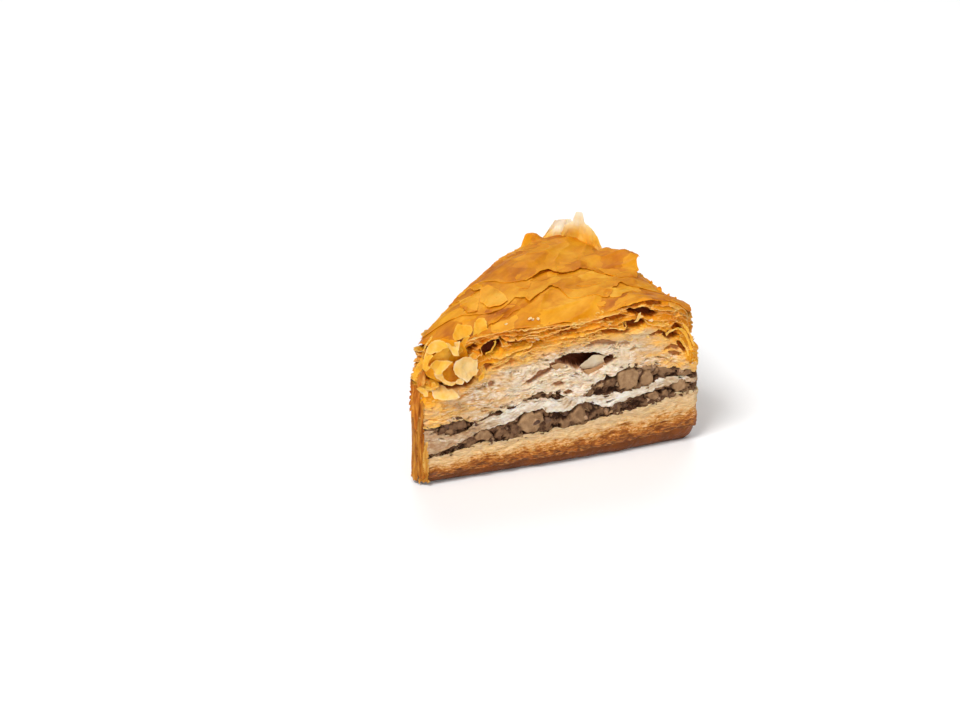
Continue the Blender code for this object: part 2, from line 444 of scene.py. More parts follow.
def rim(spacing):
    """Points round the wedge, anticlockwise, each with the direction that leads out of the wall."""
    path = []
    for i, corner in enumerate(CORNERS):
        before, after = CORNERS[i - 1], CORNERS[(i + 1) % 3]
        towards, onwards = (before - corner).normalized(), (after - corner).normalized()
        half = towards.angle(onwards) / 2
        centre = corner + (towards + onwards).normalized() * CORNER_RADII[i] / math.sin(half)
        start = math.atan2(towards.x, -towards.y)
        turn = math.pi - 2 * half
        for step in range(ARC_STEPS + 1):
            angle = start + turn * step / ARC_STEPS
            path.append(centre + Vector((math.cos(angle), math.sin(angle))) * CORNER_RADII[i])
    path.append(path[0])
    lengths = [(b - a).length for a, b in zip(path, path[1:])]
    count = round(sum(lengths) / spacing)
    step = sum(lengths) / count
    points, walked, leg = [], 0.0, 0
    for index in range(count):
        while walked + lengths[leg] < index * step:
            walked += lengths[leg]
            leg += 1
        points.append(path[leg].lerp(path[leg + 1], (index * step - walked) / lengths[leg]))
    swollen = []
    for point in points:
        left, right, back = shares_of(point)
        middle = 4 * (left * right + right * back + back * left)
        swollen.append(point + (point - CENTRE).normalized() * SIDE_BULGE * middle)
    outwards = []
    for before, after in zip(swollen[-1:] + swollen[:-1], swollen[1:] + swollen[:1]):
        along = (after - before).normalized()
        outwards.append(Vector((along.y, -along.x)))
    return swollen, outwards


RIM_STEP = 0.2 * MM
STRAIGHT_DEPTH = 1.6 * MM
rim_points, rim_out = rim(RIM_STEP)

# Corners whose top is rubbed off: from which height, how deep and how wide, in millimetres.
CORNER_TRIMS = ((LEFT, 22.0, 3.6, 5.6), (RIGHT, 18.5, 2.6, 3.8))
TRIM_RISE = 5.0


def inward(index, depth):
    """A plan point inside the wall. Past a corner's radius it heads for the middle of the wedge."""
    straight = min(depth, STRAIGHT_DEPTH)
    point = rim_points[index] - rim_out[index] * straight
    return point + (CENTRE - point).normalized() * (depth - straight)


def corner_trim(point, z):
    """How far, in millimetres, the top of the side is rubbed off near the two front corners."""
    trim = 0.0
    for corner, foot, deep, wide in CORNER_TRIMS:
        share = clamp((z - foot) / TRIM_RISE)
        nearness = math.exp(-((point - corner).length / (wide * MM)) ** 2)
        trim += deep * share * share * (3 - 2 * share) * nearness
    return trim


def side_middle(point):
    """One in the middle of a side, zero at its corners."""
    left, right, back = shares_of(point)
    return clamp(4 * (left * right + right * back + back * left))


# ---------------------------------------------------------------- stacks of leaves

# Height of the line where the white leaves turn golden along the front cut, in millimetres.
GOLDEN_LINE = (
    (-29.3, 19.3), (-23.6, 20.8), (-19.8, 21.5), (-17, 22.9), (-12.2, 23.8), (-8.4, 24.8), (-4.6, 25.5),
    (-0.7, 25.8), (3.1, 26.1), (8, 26.3), (11.9, 25.8), (14.8, 25.4), (18.8, 24.9), (21.8, 23.6),
    (24.8, 21.5), (26.8, 19.6), (28.8, 18.1)
)


# How creamy the white leaves are along the front: fully so at the corners.
CREAM = (
    (-29.3, 1.0), (-23.6, 0.85), (-17.9, 0.55), (-12.2, 0.3), (-5.5, 0.1), (-0.7, 0.0), (9.1, 0.0),
    (14.9, 0.3), (18.9, 0.65), (22.8, 0.95), (28.8, 1.0)
)


def golden_line(point):
    """Height where golden begins at a side: measured along the front, and by the corners elsewhere."""
    low, high = level("upper_nuts_top", point) / MM, crust_height(point) / MM
    elsewhere = low + (high - low) * (0.36 + 0.28 * math.sqrt(side_middle(point)))
    front = front_share(point)
    return front * between(GOLDEN_LINE, point.x / MM) + (1 - front) * elsewhere


def creaminess(point):
    """How far the white leaves have turned cream at a side."""
    front = front_share(point)
    return front * between(CREAM, point.x / MM) + (1 - front) * min(1.0, 1.3 * (1 - side_middle(point)))


def read(bench, name, kind="FLOAT"):
    return bench.add("GeometryNodeInputNamedAttribute", {"data_type": kind}, {"Name": name}, "Attribute")


def keep(bench, geometry, name, value, kind="FLOAT", domain="POINT"):
    return bench.add("GeometryNodeStoreNamedAttribute", {"data_type": kind, "domain": domain},
                     {"Geometry": geometry, "Name": name, "Value": value})


def position(bench):
    return bench.add("GeometryNodeInputPosition")


def instances(bench, points, thing):
    """The thing on each point, turned and sized as the point says."""
    return bench.add("GeometryNodeInstanceOnPoints", None, {
        "Points": points, "Instance": thing,
        "Rotation": read(bench, "turn", "FLOAT_VECTOR"), "Scale": read(bench, "bulk", "FLOAT_VECTOR")})


def realized(bench, geometry):
    return bench.add("GeometryNodeRealizeInstances", None, {"Geometry": geometry})


def moved(bench, geometry, place):
    return bench.add("GeometryNodeSetPosition", None, {"Geometry": geometry, "Position": place})


def finished(bench, geometry, place, material):
    """Hands the geometry over at its last place, in its material."""
    geometry = moved(bench, geometry, place)
    hand_over(bench, bench.add("GeometryNodeSetMaterial", None, {"Geometry": geometry, "Material": material}))


def shred_tree():
    """Puts a small bent scrap of leaf on each point."""
    tree, bench, given = new_tree("leaf_scraps", Bend=0.35, Material=None)
    sheet = bench.add("GeometryNodeMeshGrid", None, {0: 1.0, 1: 1.0, 2: 4, 3: 3}, "Mesh")
    x, y, _ = bench.parts(position(bench))
    bent = bench.join(x * (1 - y * 0.5), y, given["Bend"] * (x * x * 2 + x * y))
    sheet = moved(bench, sheet, bent)
    scraps = realized(bench, instances(bench, given["Geometry"], sheet))
    place = position(bench)
    wave = bench.add("ShaderNodeTexNoise", None,
                     {"Vector": place, "Scale": 1 / (0.7 * MM), "Detail": 1.0}, "Color")
    shift = bench.add("ShaderNodeVectorMath", {"operation": "SUBTRACT"}, {0: wave, 1: (0.5, 0.5, 0.5)})
    finished(bench, scraps, place + shift * (0.9 * MM), given["Material"])
    return tree


def scraps(name, low, high, node, material, count, shares, lengths, seed, tilt=0.5):
    """Loose scraps that cling to the cut sides of a layer, mostly lying along its leaves."""
    draw = random.Random(seed)
    spots, turns, bulks, toasts, warmths = [], [], [], [], []
    for _ in range(count):
        index = draw.randrange(len(rim_points))
        out = rim_out[index]
        place = inward(index, draw.uniform(-0.1, 0.5) * MM)
        share = draw.uniform(*shares)
        bottom = level(low, place)
        top = layer_top(high, place)
        z = bottom + (top - bottom) * share
        if hollow_at(place, z / MM) > 0.05 or corner_trim(place, z / MM) > 0.5:
            continue
        spots.append((place.x, place.y, z))
        turns.append((draw.gauss(0.0, tilt) + draw.choice((0.2, 1.2)), draw.gauss(0.0, 0.25),
                      math.atan2(out.y, out.x) + math.pi / 2 + draw.gauss(0.0, 0.35)))
        long = draw.uniform(*lengths) * MM
        bulks.append((long, long * draw.uniform(0.3, 0.7), long))
        toasts.append(spots[-1][2] / MM - golden_line(place) + draw.gauss(0.0, 0.5))
        warmths.append(creaminess(place))
    mesh = mesh_of(name, spots, [])
    for label, values in (("turn", turns), ("bulk", bulks), ("toast", toasts), ("warmth", warmths),
                          ("edge", [0.3] * len(spots))):
        note(mesh, label, values)
    obj = new_object(name, mesh)
    run_tree(obj, SCRAPS, Bend=0.35, Material=material)
    thicken(obj, 0.12 * MM)
    return shown(plain(obj, 60), node)


SCRAPS = shred_tree()
CORE_STEP = 4


def core(name, low, high, node, material, inset, gap):
    """The closed middle of a layer, behind its cut sides."""
    indices = range(0, len(rim_points), CORE_STEP)
    points = []
    for share in (0.0, 0.5, 1.0):
        for index in indices:
            place = inward(index, inset)
            bottom = level(low, place) + gap
            top = layer_top(high, place) - gap
            points.append((place.x, place.y, bottom + (top - bottom) * share))
    ends = level(low, CENTRE) + gap, level(high, CENTRE) - gap
    return shown(closed_rings(name, points, len(indices), *ends, material), node)


# ---------------------------------------------------------------- finishes

# How far red, green and blue light spreads inside pastry, as shares of a finish's reach.
GLOW = (1.0, 0.5, 0.2)
COAT_ROUGHNESS = 0.25


def finish(name, paint, roughness=0.5, subsurface=0.0, reach=1.0 * MM, coat=0.0, specular=0.5):
    """A material. paint gets a bench and gives the wires for the shader's sockets by name."""
    material = bpy.data.materials.new(name)
    material.use_nodes = True
    tree = material.node_tree
    shader = tree.nodes["Principled BSDF"]
    bench = Bench(tree)
    for socket, value in (("Roughness", roughness), ("Subsurface Weight", subsurface),
                          ("Subsurface Radius", GLOW), ("Subsurface Scale", reach), ("Coat Weight", coat),
                          ("Coat Roughness", COAT_ROUGHNESS), ("Specular IOR Level", specular)):
        shader.inputs[socket].default_value = value
    for socket, wire in paint(bench).items():
        tree.links.new(wire.socket, shader.inputs[socket])
    return material


def attribute(bench, name):
    return bench.add("ShaderNodeAttribute", {"attribute_name": name}, None, "Fac")


def object_place(bench):
    """The place in the object, as one wire and as three."""
    place = bench.add("ShaderNodeTexCoord", None, None, "Object")
    return place, *bench.parts(place)


def bump(bench, height, strength, distance):
    return bench.add("ShaderNodeBump", None, {"Strength": strength, "Distance": distance, "Height": height})


def surface(bench, colour, relief, strength, distance):
    """What most looks give the shader: a colour and a fine bump."""
    return {"Base Color": colour, "Normal": bump(bench, relief, strength, distance)}


def ramp_of(bench, value, *stops):
    return bench.add("ShaderNodeValToRGB", {"stops": stops}, {0: value}, "Color")


def shade(bench, colour, amount):
    """The colour times a grey that stands for amount."""
    grey = bench.join(amount, amount, amount)
    return bench.mix(1.0, colour, grey, "MULTIPLY")


def stranded(bench, place, colour, shares, light, dark):
    """The colour with light and dark strands along the leaves, each with its share."""
    x, y, z = bench.parts(place)
    strand = bench.grain(bench.join(x * 0.7, y * 0.7, z * 4), 0.8 * MM, 2.0)
    colour = bench.mix(strand.ramp(0.05, 0.3) * shares[0], colour, light)
    return bench.mix((-1 * strand).ramp(0.05, 0.3) * shares[1], colour, dark)


def paint_top_leaves(bench):
    place, x, y, z = object_place(bench)
    streaks = bench.join(x, y, z * 3)
    ridge = attribute(bench, "ridge")
    toast = 0.52 + attribute(bench, "toast") * 0.13
    toast = toast + bench.grain(streaks, 3.0 * MM) * 0.06 + bench.grain(streaks, 0.9 * MM, 2.0) * 0.06
    # The ridges of the torn leaves stay a little paler: painted light.
    cream = attribute(bench, "warmth") * 0.3 + 0.14 + bench.grain(streaks, 3.5 * MM, 2.0) * 0.2 - ridge * 0.06
    toast = toast.at_least(cream)
    colour = ramp_of(bench, toast,
                     (0.0, tone(232, 218, 198)), (0.2, tone(224, 198, 164)), (0.34, tone(216, 172, 118)),
                     (0.48, tone(240, 184, 98)), (0.64, tone(242, 164, 34)), (1.0, tone(222, 138, 8)))
    # Painted shade: the grooves between the ridges are darkened towards tan and amber.
    low = (0.45 - ridge * 0.5).ramp(0.35, 0.95)
    colour = bench.mix(low * 0.36, colour,
                       bench.mix(toast.ramp(0.25, 0.5), tone(186, 134, 84), tone(204, 116, 14)))
    golden = toast.ramp(0.3, 0.46)
    patchy = (0.5 + bench.grain(place, 2.6 * MM) * 1.6).ramp(0.2, 1.0)
    colour = stranded(bench, place, colour, (patchy * 0.55, patchy * 0.45),
                      bench.mix(golden, tone(246, 238, 226), tone(252, 208, 122)),
                      bench.mix(golden, tone(188, 138, 92), tone(196, 112, 10)))
    # Painted highlight: the lips of the golden leaves turn pale where they catch the light.
    colour = bench.mix(attribute(bench, "edge") * 0.38, colour, tone(252, 212, 140))
    # Painted shade: openings, and leaves set back under the lips, turn warm brown, and the deepest parts dark
    # red-brown.
    shade_warmth = bench.mix(toast.ramp(0.25, 0.5), tone(166, 102, 54), tone(160, 72, 4))
    hollow = attribute(bench, "hollow")
    colour = bench.mix(hollow.ramp(0.04, 0.5) * 0.85, colour, shade_warmth)
    colour = bench.mix(hollow.ramp(0.6, 1.0) * 0.9, colour, tone(84, 26, 2))
    # Brightness: a little painted light on the ridges, and a random grain.
    light = 0.97 + ridge * 0.04 + bench.grain(streaks, 0.5 * MM, 2.0) * 0.06
    fibres = bench.grain(bench.join(x, y, z * 2.5), 0.4 * MM, 3.0)
    return {"Base Color": shade(bench, colour, light),
            "Normal": bump(bench, fibres, 0.35, 0.12 * MM)}


def paint_band_leaves(bench):
    _, x, y, z = object_place(bench)
    streaks = bench.join(x, y, z * 2.5)
    ridge = attribute(bench, "ridge")
    moist = 0.46 + bench.grain(streaks, 3.0 * MM) * 0.26 + bench.grain(streaks, 0.8 * MM, 2.0) * 0.2
    # The ridge term makes ridges a little paler, as painted light; the wet mark is the leaves' own soaking.
    moist = moist - ridge * 0.1 + attribute(bench, "wet") * 0.4
    colour = ramp_of(bench, moist, (0.0, tone(240, 236, 230)), (0.4, tone(224, 212, 196)),
                     (0.7, tone(196, 168, 134)), (1.0, tone(166, 124, 84)))
    # Painted shade: grooves between the ridges and recessed places darken towards brown.
    colour = bench.mix((0.4 - ridge * 0.5).ramp(0.4, 0.95) * 0.4, colour, tone(150, 112, 80))
    colour = bench.mix(attribute(bench, "hollow").ramp(0.1, 0.8) * 0.8, colour, tone(104, 70, 46))
    return surface(bench, colour, bench.grain(bench.join(x, y, z * 2), 0.4 * MM, 3.0), 0.4, 0.12 * MM)


def paint_base_leaves(bench):
    place, x, y, z = object_place(bench)
    streaks = bench.join(x, y, z * 3)
    soak = 1 - attribute(bench, "share") + bench.grain(place, 3.2 * MM) * 0.10
    # The ridge term makes ridges a little paler: painted light.
    soak = soak + bench.grain(streaks, 1.1 * MM, 3.0) * 0.12 - attribute(bench, "ridge") * 0.06
    soak = soak + bench.grain(streaks, 0.5 * MM, 2.0) * 0.16
    colour = ramp_of(bench, soak, (0.0, tone(200, 168, 126)), (0.2, tone(222, 184, 130)),
                     (0.36, tone(202, 138, 60)), (0.5, tone(158, 84, 14)), (0.66, tone(116, 68, 34)),
                     (0.9, tone(92, 54, 30)))
    deep = soak.ramp(0.3, 0.5)
    colour = stranded(bench, place, colour, (0.4, 0.35),
                      bench.mix(deep, tone(232, 204, 160), tone(214, 144, 70)),
                      bench.mix(deep, tone(186, 132, 72), tone(96, 48, 16)))
    # Painted shade: recessed places darken towards brown.
    colour = bench.mix(attribute(bench, "hollow").ramp(0.1, 0.9) * 0.7, colour, tone(120, 62, 20))
    return surface(bench, colour, bench.grain(bench.join(x, y, z * 2.5), 0.6 * MM, 2.0), 0.4, 0.15 * MM)


def paint_film(bench):
    place, *_ = object_place(bench)
    blend = attribute(bench, "tint") + bench.grain(place, 2.5 * MM, 2.0) * 0.3
    colour = ramp_of(bench, blend, (0.0, tone(232, 204, 172)), (0.5, tone(202, 160, 116)),
                     (1.0, tone(158, 100, 50)))
    return surface(bench, colour, bench.grain(place, 0.8 * MM, 2.0), 0.2, 0.1 * MM)


def paint_underside(bench):
    place, _, _, z = object_place(bench)
    soak = 0.5 + bench.grain(place, 3.0 * MM, 2.0) * 0.25 - (z - 1.5 * MM) * 90
    colour = ramp_of(bench, soak, (0.1, tone(154, 82, 20)), (0.45, tone(116, 60, 14)),
                     (0.9, tone(82, 42, 12)))
    return surface(bench, colour, bench.grain(place, 0.8 * MM, 2.0), 0.5, 0.2 * MM)


def paint_crust(bench):
    place, x, y, _ = object_place(bench)
    tint = attribute(bench, "tint")
    along = (x + y * 0.8) * 0.35
    across = (y - x * 0.8) * 0.8
    brushed = bench.join(along, across, tint * 31 * MM)
    warp = bench.add("ShaderNodeTexNoise", None, {"Vector": place, "Scale": 1 / (3.5 * MM)}, "Color")
    bent = brushed + (warp - (0.5, 0.5, 0.5)) * (3.0 * MM)
    cell = bench.add("ShaderNodeTexVoronoi", {"feature": "F1"},
                     {"Vector": bent, "Scale": 1 / (4.2 * MM)}, "Color")
    patch, _, _ = bench.parts(cell)
    toast = 0.44 + bench.grain(brushed, 3.2 * MM, 2.0) * 0.20 + bench.grain(place, 9.0 * MM) * 0.12
    toast = toast + (tint - 0.5) * 0.4 + bench.grain(brushed, 0.9 * MM, 2.0) * 0.08 + (patch - 0.5) * 0.34
    toast = toast + attribute(bench, "baked") * 0.18 - 0.03
    colour = ramp_of(bench, toast, (0.0, tone(242, 180, 74)), (0.3, tone(232, 156, 34)),
                     (0.52, tone(216, 134, 12)), (0.75, tone(188, 104, 4)), (1.0, tone(150, 74, 2)))
    # Painted light: the torn rims of the top leaves are brightened as if lit through.
    light = 1.0 + attribute(bench, "edge") * 0.22
    fine = bench.grain(place, 0.7 * MM, 3.0)
    rough = 0.5 + bench.grain(place, 5 * MM) * 0.06
    return {"Base Color": shade(bench, colour, light), "Roughness": rough,
            "Normal": bump(bench, fine, 0.2, 0.1 * MM)}


def paint_flakes(bench):
    place, *_ = object_place(bench)
    toast = attribute(bench, "tint") * 0.75 + 0.25 + bench.grain(place, 2.0 * MM, 2.0) * 0.14
    toast = toast - attribute(bench, "edge") * 0.12
    colour = ramp_of(bench, toast, (0.0, tone(244, 228, 204)), (0.2, tone(238, 196, 138)),
                     (0.45, tone(240, 174, 66)), (0.68, tone(232, 148, 12)), (1.0, tone(184, 92, 2)))
    return surface(bench, colour, bench.grain(place, 0.6 * MM, 2.0), 0.3, 0.1 * MM)


def paint_hanging(bench):
    _, x, y, z = object_place(bench)
    tint = attribute(bench, "tint")
    fall = bench.join(x * 3, y * 3, z * 0.5)
    toast = 0.52 + bench.grain(fall, 2.0 * MM, 2.0) * 0.45 + (tint - 0.5) * 0.5
    colour = ramp_of(bench, toast, (0.0, tone(240, 186, 100)), (0.4, tone(210, 136, 48)),
                     (0.75, tone(174, 94, 22)), (1.0, tone(120, 58, 12)))
    return surface(bench, colour, bench.grain(fall, 0.8 * MM, 2.0), 0.3, 0.12 * MM)


def paint_shaded(bench):
    place, _, _, z = object_place(bench)
    shade_warmth = (z - 22 * MM) * 60 + bench.grain(place, 3 * MM) * 0.2 + 0.5
    colour = ramp_of(bench, shade_warmth, (0.0, tone(120, 84, 58)), (0.5, tone(132, 78, 36)),
                     (1.0, tone(150, 82, 18)))
    return {"Base Color": colour}


def paint_nuts(bench):
    place, *_ = object_place(bench)
    cut, pale = attribute(bench, "cut"), attribute(bench, "pale")
    flesh = bench.mix(0.5 + bench.grain(place, 1.2 * MM) * 0.4, tone(190, 152, 116), tone(156, 118, 84))
    skin = bench.mix(0.5 + bench.grain(place, 0.9 * MM) * 0.5, tone(110, 74, 50), tone(56, 32, 18))
    share = (cut * 0.9 + pale * 0.9 - 0.1 + bench.grain(place, 1.0 * MM) * 0.15).ramp(0.0, 1.0)
    rough = bench.grain(place, 0.5 * MM, 2.0)
    return {"Base Color": bench.mix(share, skin, flesh), "Normal": bump(bench, rough, 0.35, 0.12 * MM)}


def paint_crumb(bench):
    place, *_ = object_place(bench)
    pale = attribute(bench, "pale") * 0.95 - 0.06 + bench.grain(place, 0.9 * MM, 3.0) * 0.3
    pale = pale + bench.grain(place, 3.0 * MM) * 0.15
    colour = ramp_of(bench, pale, (0.05, tone(84, 54, 34)), (0.35, tone(118, 86, 60)),
                     (0.62, tone(138, 104, 72)), (1.0, tone(172, 136, 98)))
    # Painted shade in the crevices between the lumps and round the cut walnut pieces.
    colour = bench.mix(attribute(bench, "crevice").ramp(0.1, 0.7) * 0.9, colour, tone(52, 26, 12))
    return surface(bench, colour, bench.grain(place, 0.4 * MM, 3.0), 0.5, 0.15 * MM)


LEAF = finish("pastry_leaves", paint_top_leaves, 0.6, 0.35, reach=0.9 * MM, specular=0.12)
BAND_LEAF = finish("moist_leaves", paint_band_leaves, 0.45, 0.35, reach=0.9 * MM, specular=0.3)
FILM = finish("moist_film", paint_film, 0.4, 0.3, specular=0.3)
BASE_LEAF = finish("soaked_leaves", paint_base_leaves, 0.45, 0.3, coat=0.04, specular=0.15)
UNDERSIDE = finish("syrup_base", paint_underside, 0.4, 0.2, coat=0.08, specular=0.15)
CRUST = finish("crisp_crust", paint_crust, 0.5, 0.2, reach=0.6 * MM, specular=0.08)
FLAKE = finish("loose_flakes", paint_flakes, 0.5, 0.4, reach=0.8 * MM, specular=0.12)
HANGING = finish("hanging_leaves", paint_hanging, 0.5, 0.3, reach=0.7 * MM, specular=0.12)
SHADED = finish("shaded_dough", paint_shaded, 0.6, 0.0, specular=0.2)
NUT = finish("walnut", paint_nuts, 0.5, 0.2, coat=0.04, specular=0.3)
CRUMB = finish("walnut_crumb", paint_crumb, 0.6, 0.1, specular=0.15)


# ---------------------------------------------------------------- torn sides

# Lips of the golden leaves along the front cut, from the lowest up: (x, z) in millimetres.
FRONT_LIPS = (
    ((-29.3, 19.8), (-26.5, 21), (-23.6, 21.2), (-19.8, 21.7), (-17, 23.3), (-14.1, 23.6), (-12.2, 24.2),
     (-9.4, 24.9), (-6.5, 25.6), (-3.6, 25.9), (-0.7, 26.1), (3.1, 26.2), (7, 26.3), (10.9, 26.1),
     (12.9, 25.7), (14.8, 25.4), (16.8, 25.3), (18.8, 24.7), (20.3, 24.9), (21.7, 24.3), (23.8, 23),
     (25.8, 21.3), (28.8, 19.1)),
    ((-29.3, 21.7), (-25.5, 22.6), (-21.7, 23.1), (-18.9, 24), (-17, 24.8), (-14.1, 25.2), (-12.2, 25.4),
     (-10.3, 25.6), (-8.4, 26.1), (-6.5, 26.7), (-4.6, 26.8), (-2.7, 26.9), (-0.7, 27.1), (2.2, 26.9),
     (4.1, 26.9), (7, 27.4), (9, 27.5), (10.9, 27.2), (12.9, 26.7), (14.3, 26.7), (15.8, 26.8), (17.2, 27.2),
     (18.7, 26.5), (20.7, 25.9), (22.7, 25.4), (24.2, 25.5), (25.7, 23.6), (28.8, 21.1)),
    ((-29.3, 23.1), (-25.5, 24), (-21.7, 25), (-18.9, 25.9), (-17.2, 26.2), (-16.3, 25.7), (-15.3, 25.4),
     (-14.1, 26.2), (-13.4, 27.1), (-10.3, 26.9), (-8.9, 26.9), (-7.1, 27.4), (-5.5, 27.4), (-4.9, 27.1),
     (-2.7, 27.7), (-0.7, 27.8), (2.2, 27.8), (4.1, 27.8), (6, 27.9), (8, 28.2), (9.4, 28), (10.9, 27.9),
     (12.1, 28.1), (14.3, 28.4), (15, 28.2), (16.1, 28.6), (17, 28.1), (18.7, 27.5), (20.7, 27.1),
     (22.7, 26.7), (24.7, 26.3), (26.7, 24.5), (28.7, 22.5)),
    ((-29.3, 24.5), (-25.5, 25.4), (-21.7, 26.7), (-18.9, 27.4), (-17.3, 27.4), (-16.5, 28.3), (-15.3, 28.9),
     (-13.4, 29.1), (-12.6, 28.3), (-10.3, 27.9), (-8.4, 27.9), (-6.5, 28.4), (-4.6, 28.1), (-2.7, 28.5),
     (-0.7, 28.7), (1.2, 28.8), (3.1, 28.6), (4.6, 28.8), (6, 29.1), (8, 29.2), (9.9, 28.9), (11.8, 29.1),
     (13.8, 29.2), (15.8, 29.3), (17.2, 28.9), (18.7, 28.3), (19.7, 28.6), (21.2, 28.8), (22.7, 28.1),
     (24.6, 27.3), (26.7, 25.9), (28.7, 24)),
    ((-29.3, 25.4), (-25.5, 26.7), (-21.7, 28.2), (-18.9, 28.8), (-16.1, 29.4), (-12.2, 29.2), (-8.4, 28.8),
     (-6.5, 29.1), (-2.7, 29.2), (1.2, 29.3), (3.1, 29.3), (6, 29.9), (7, 30), (8.9, 30.1), (10.9, 30.2),
     (12.8, 30.4), (14.8, 30.4), (16.7, 30.3), (18.7, 30), (20.7, 29.4), (22.6, 29), (24.6, 28.2),
     (26.6, 26.9), (28.7, 25)),
    ((-29.3, 26.2), (-25.5, 27.6), (-21.7, 29.3), (-18.9, 29.9), (-16.1, 30.3), (-12.2, 30), (-8.4, 29.8),
     (-4.6, 30), (-0.8, 30.2), (3.1, 30.4), (6, 30.7), (8.9, 30.7), (10.8, 30.8), (11.8, 31.4), (13.8, 31),
     (15.7, 30.9), (17.7, 30.7), (19.7, 30.4), (21.6, 30.1), (23.6, 29.5), (25.6, 28.6), (28.6, 26.4)),
)

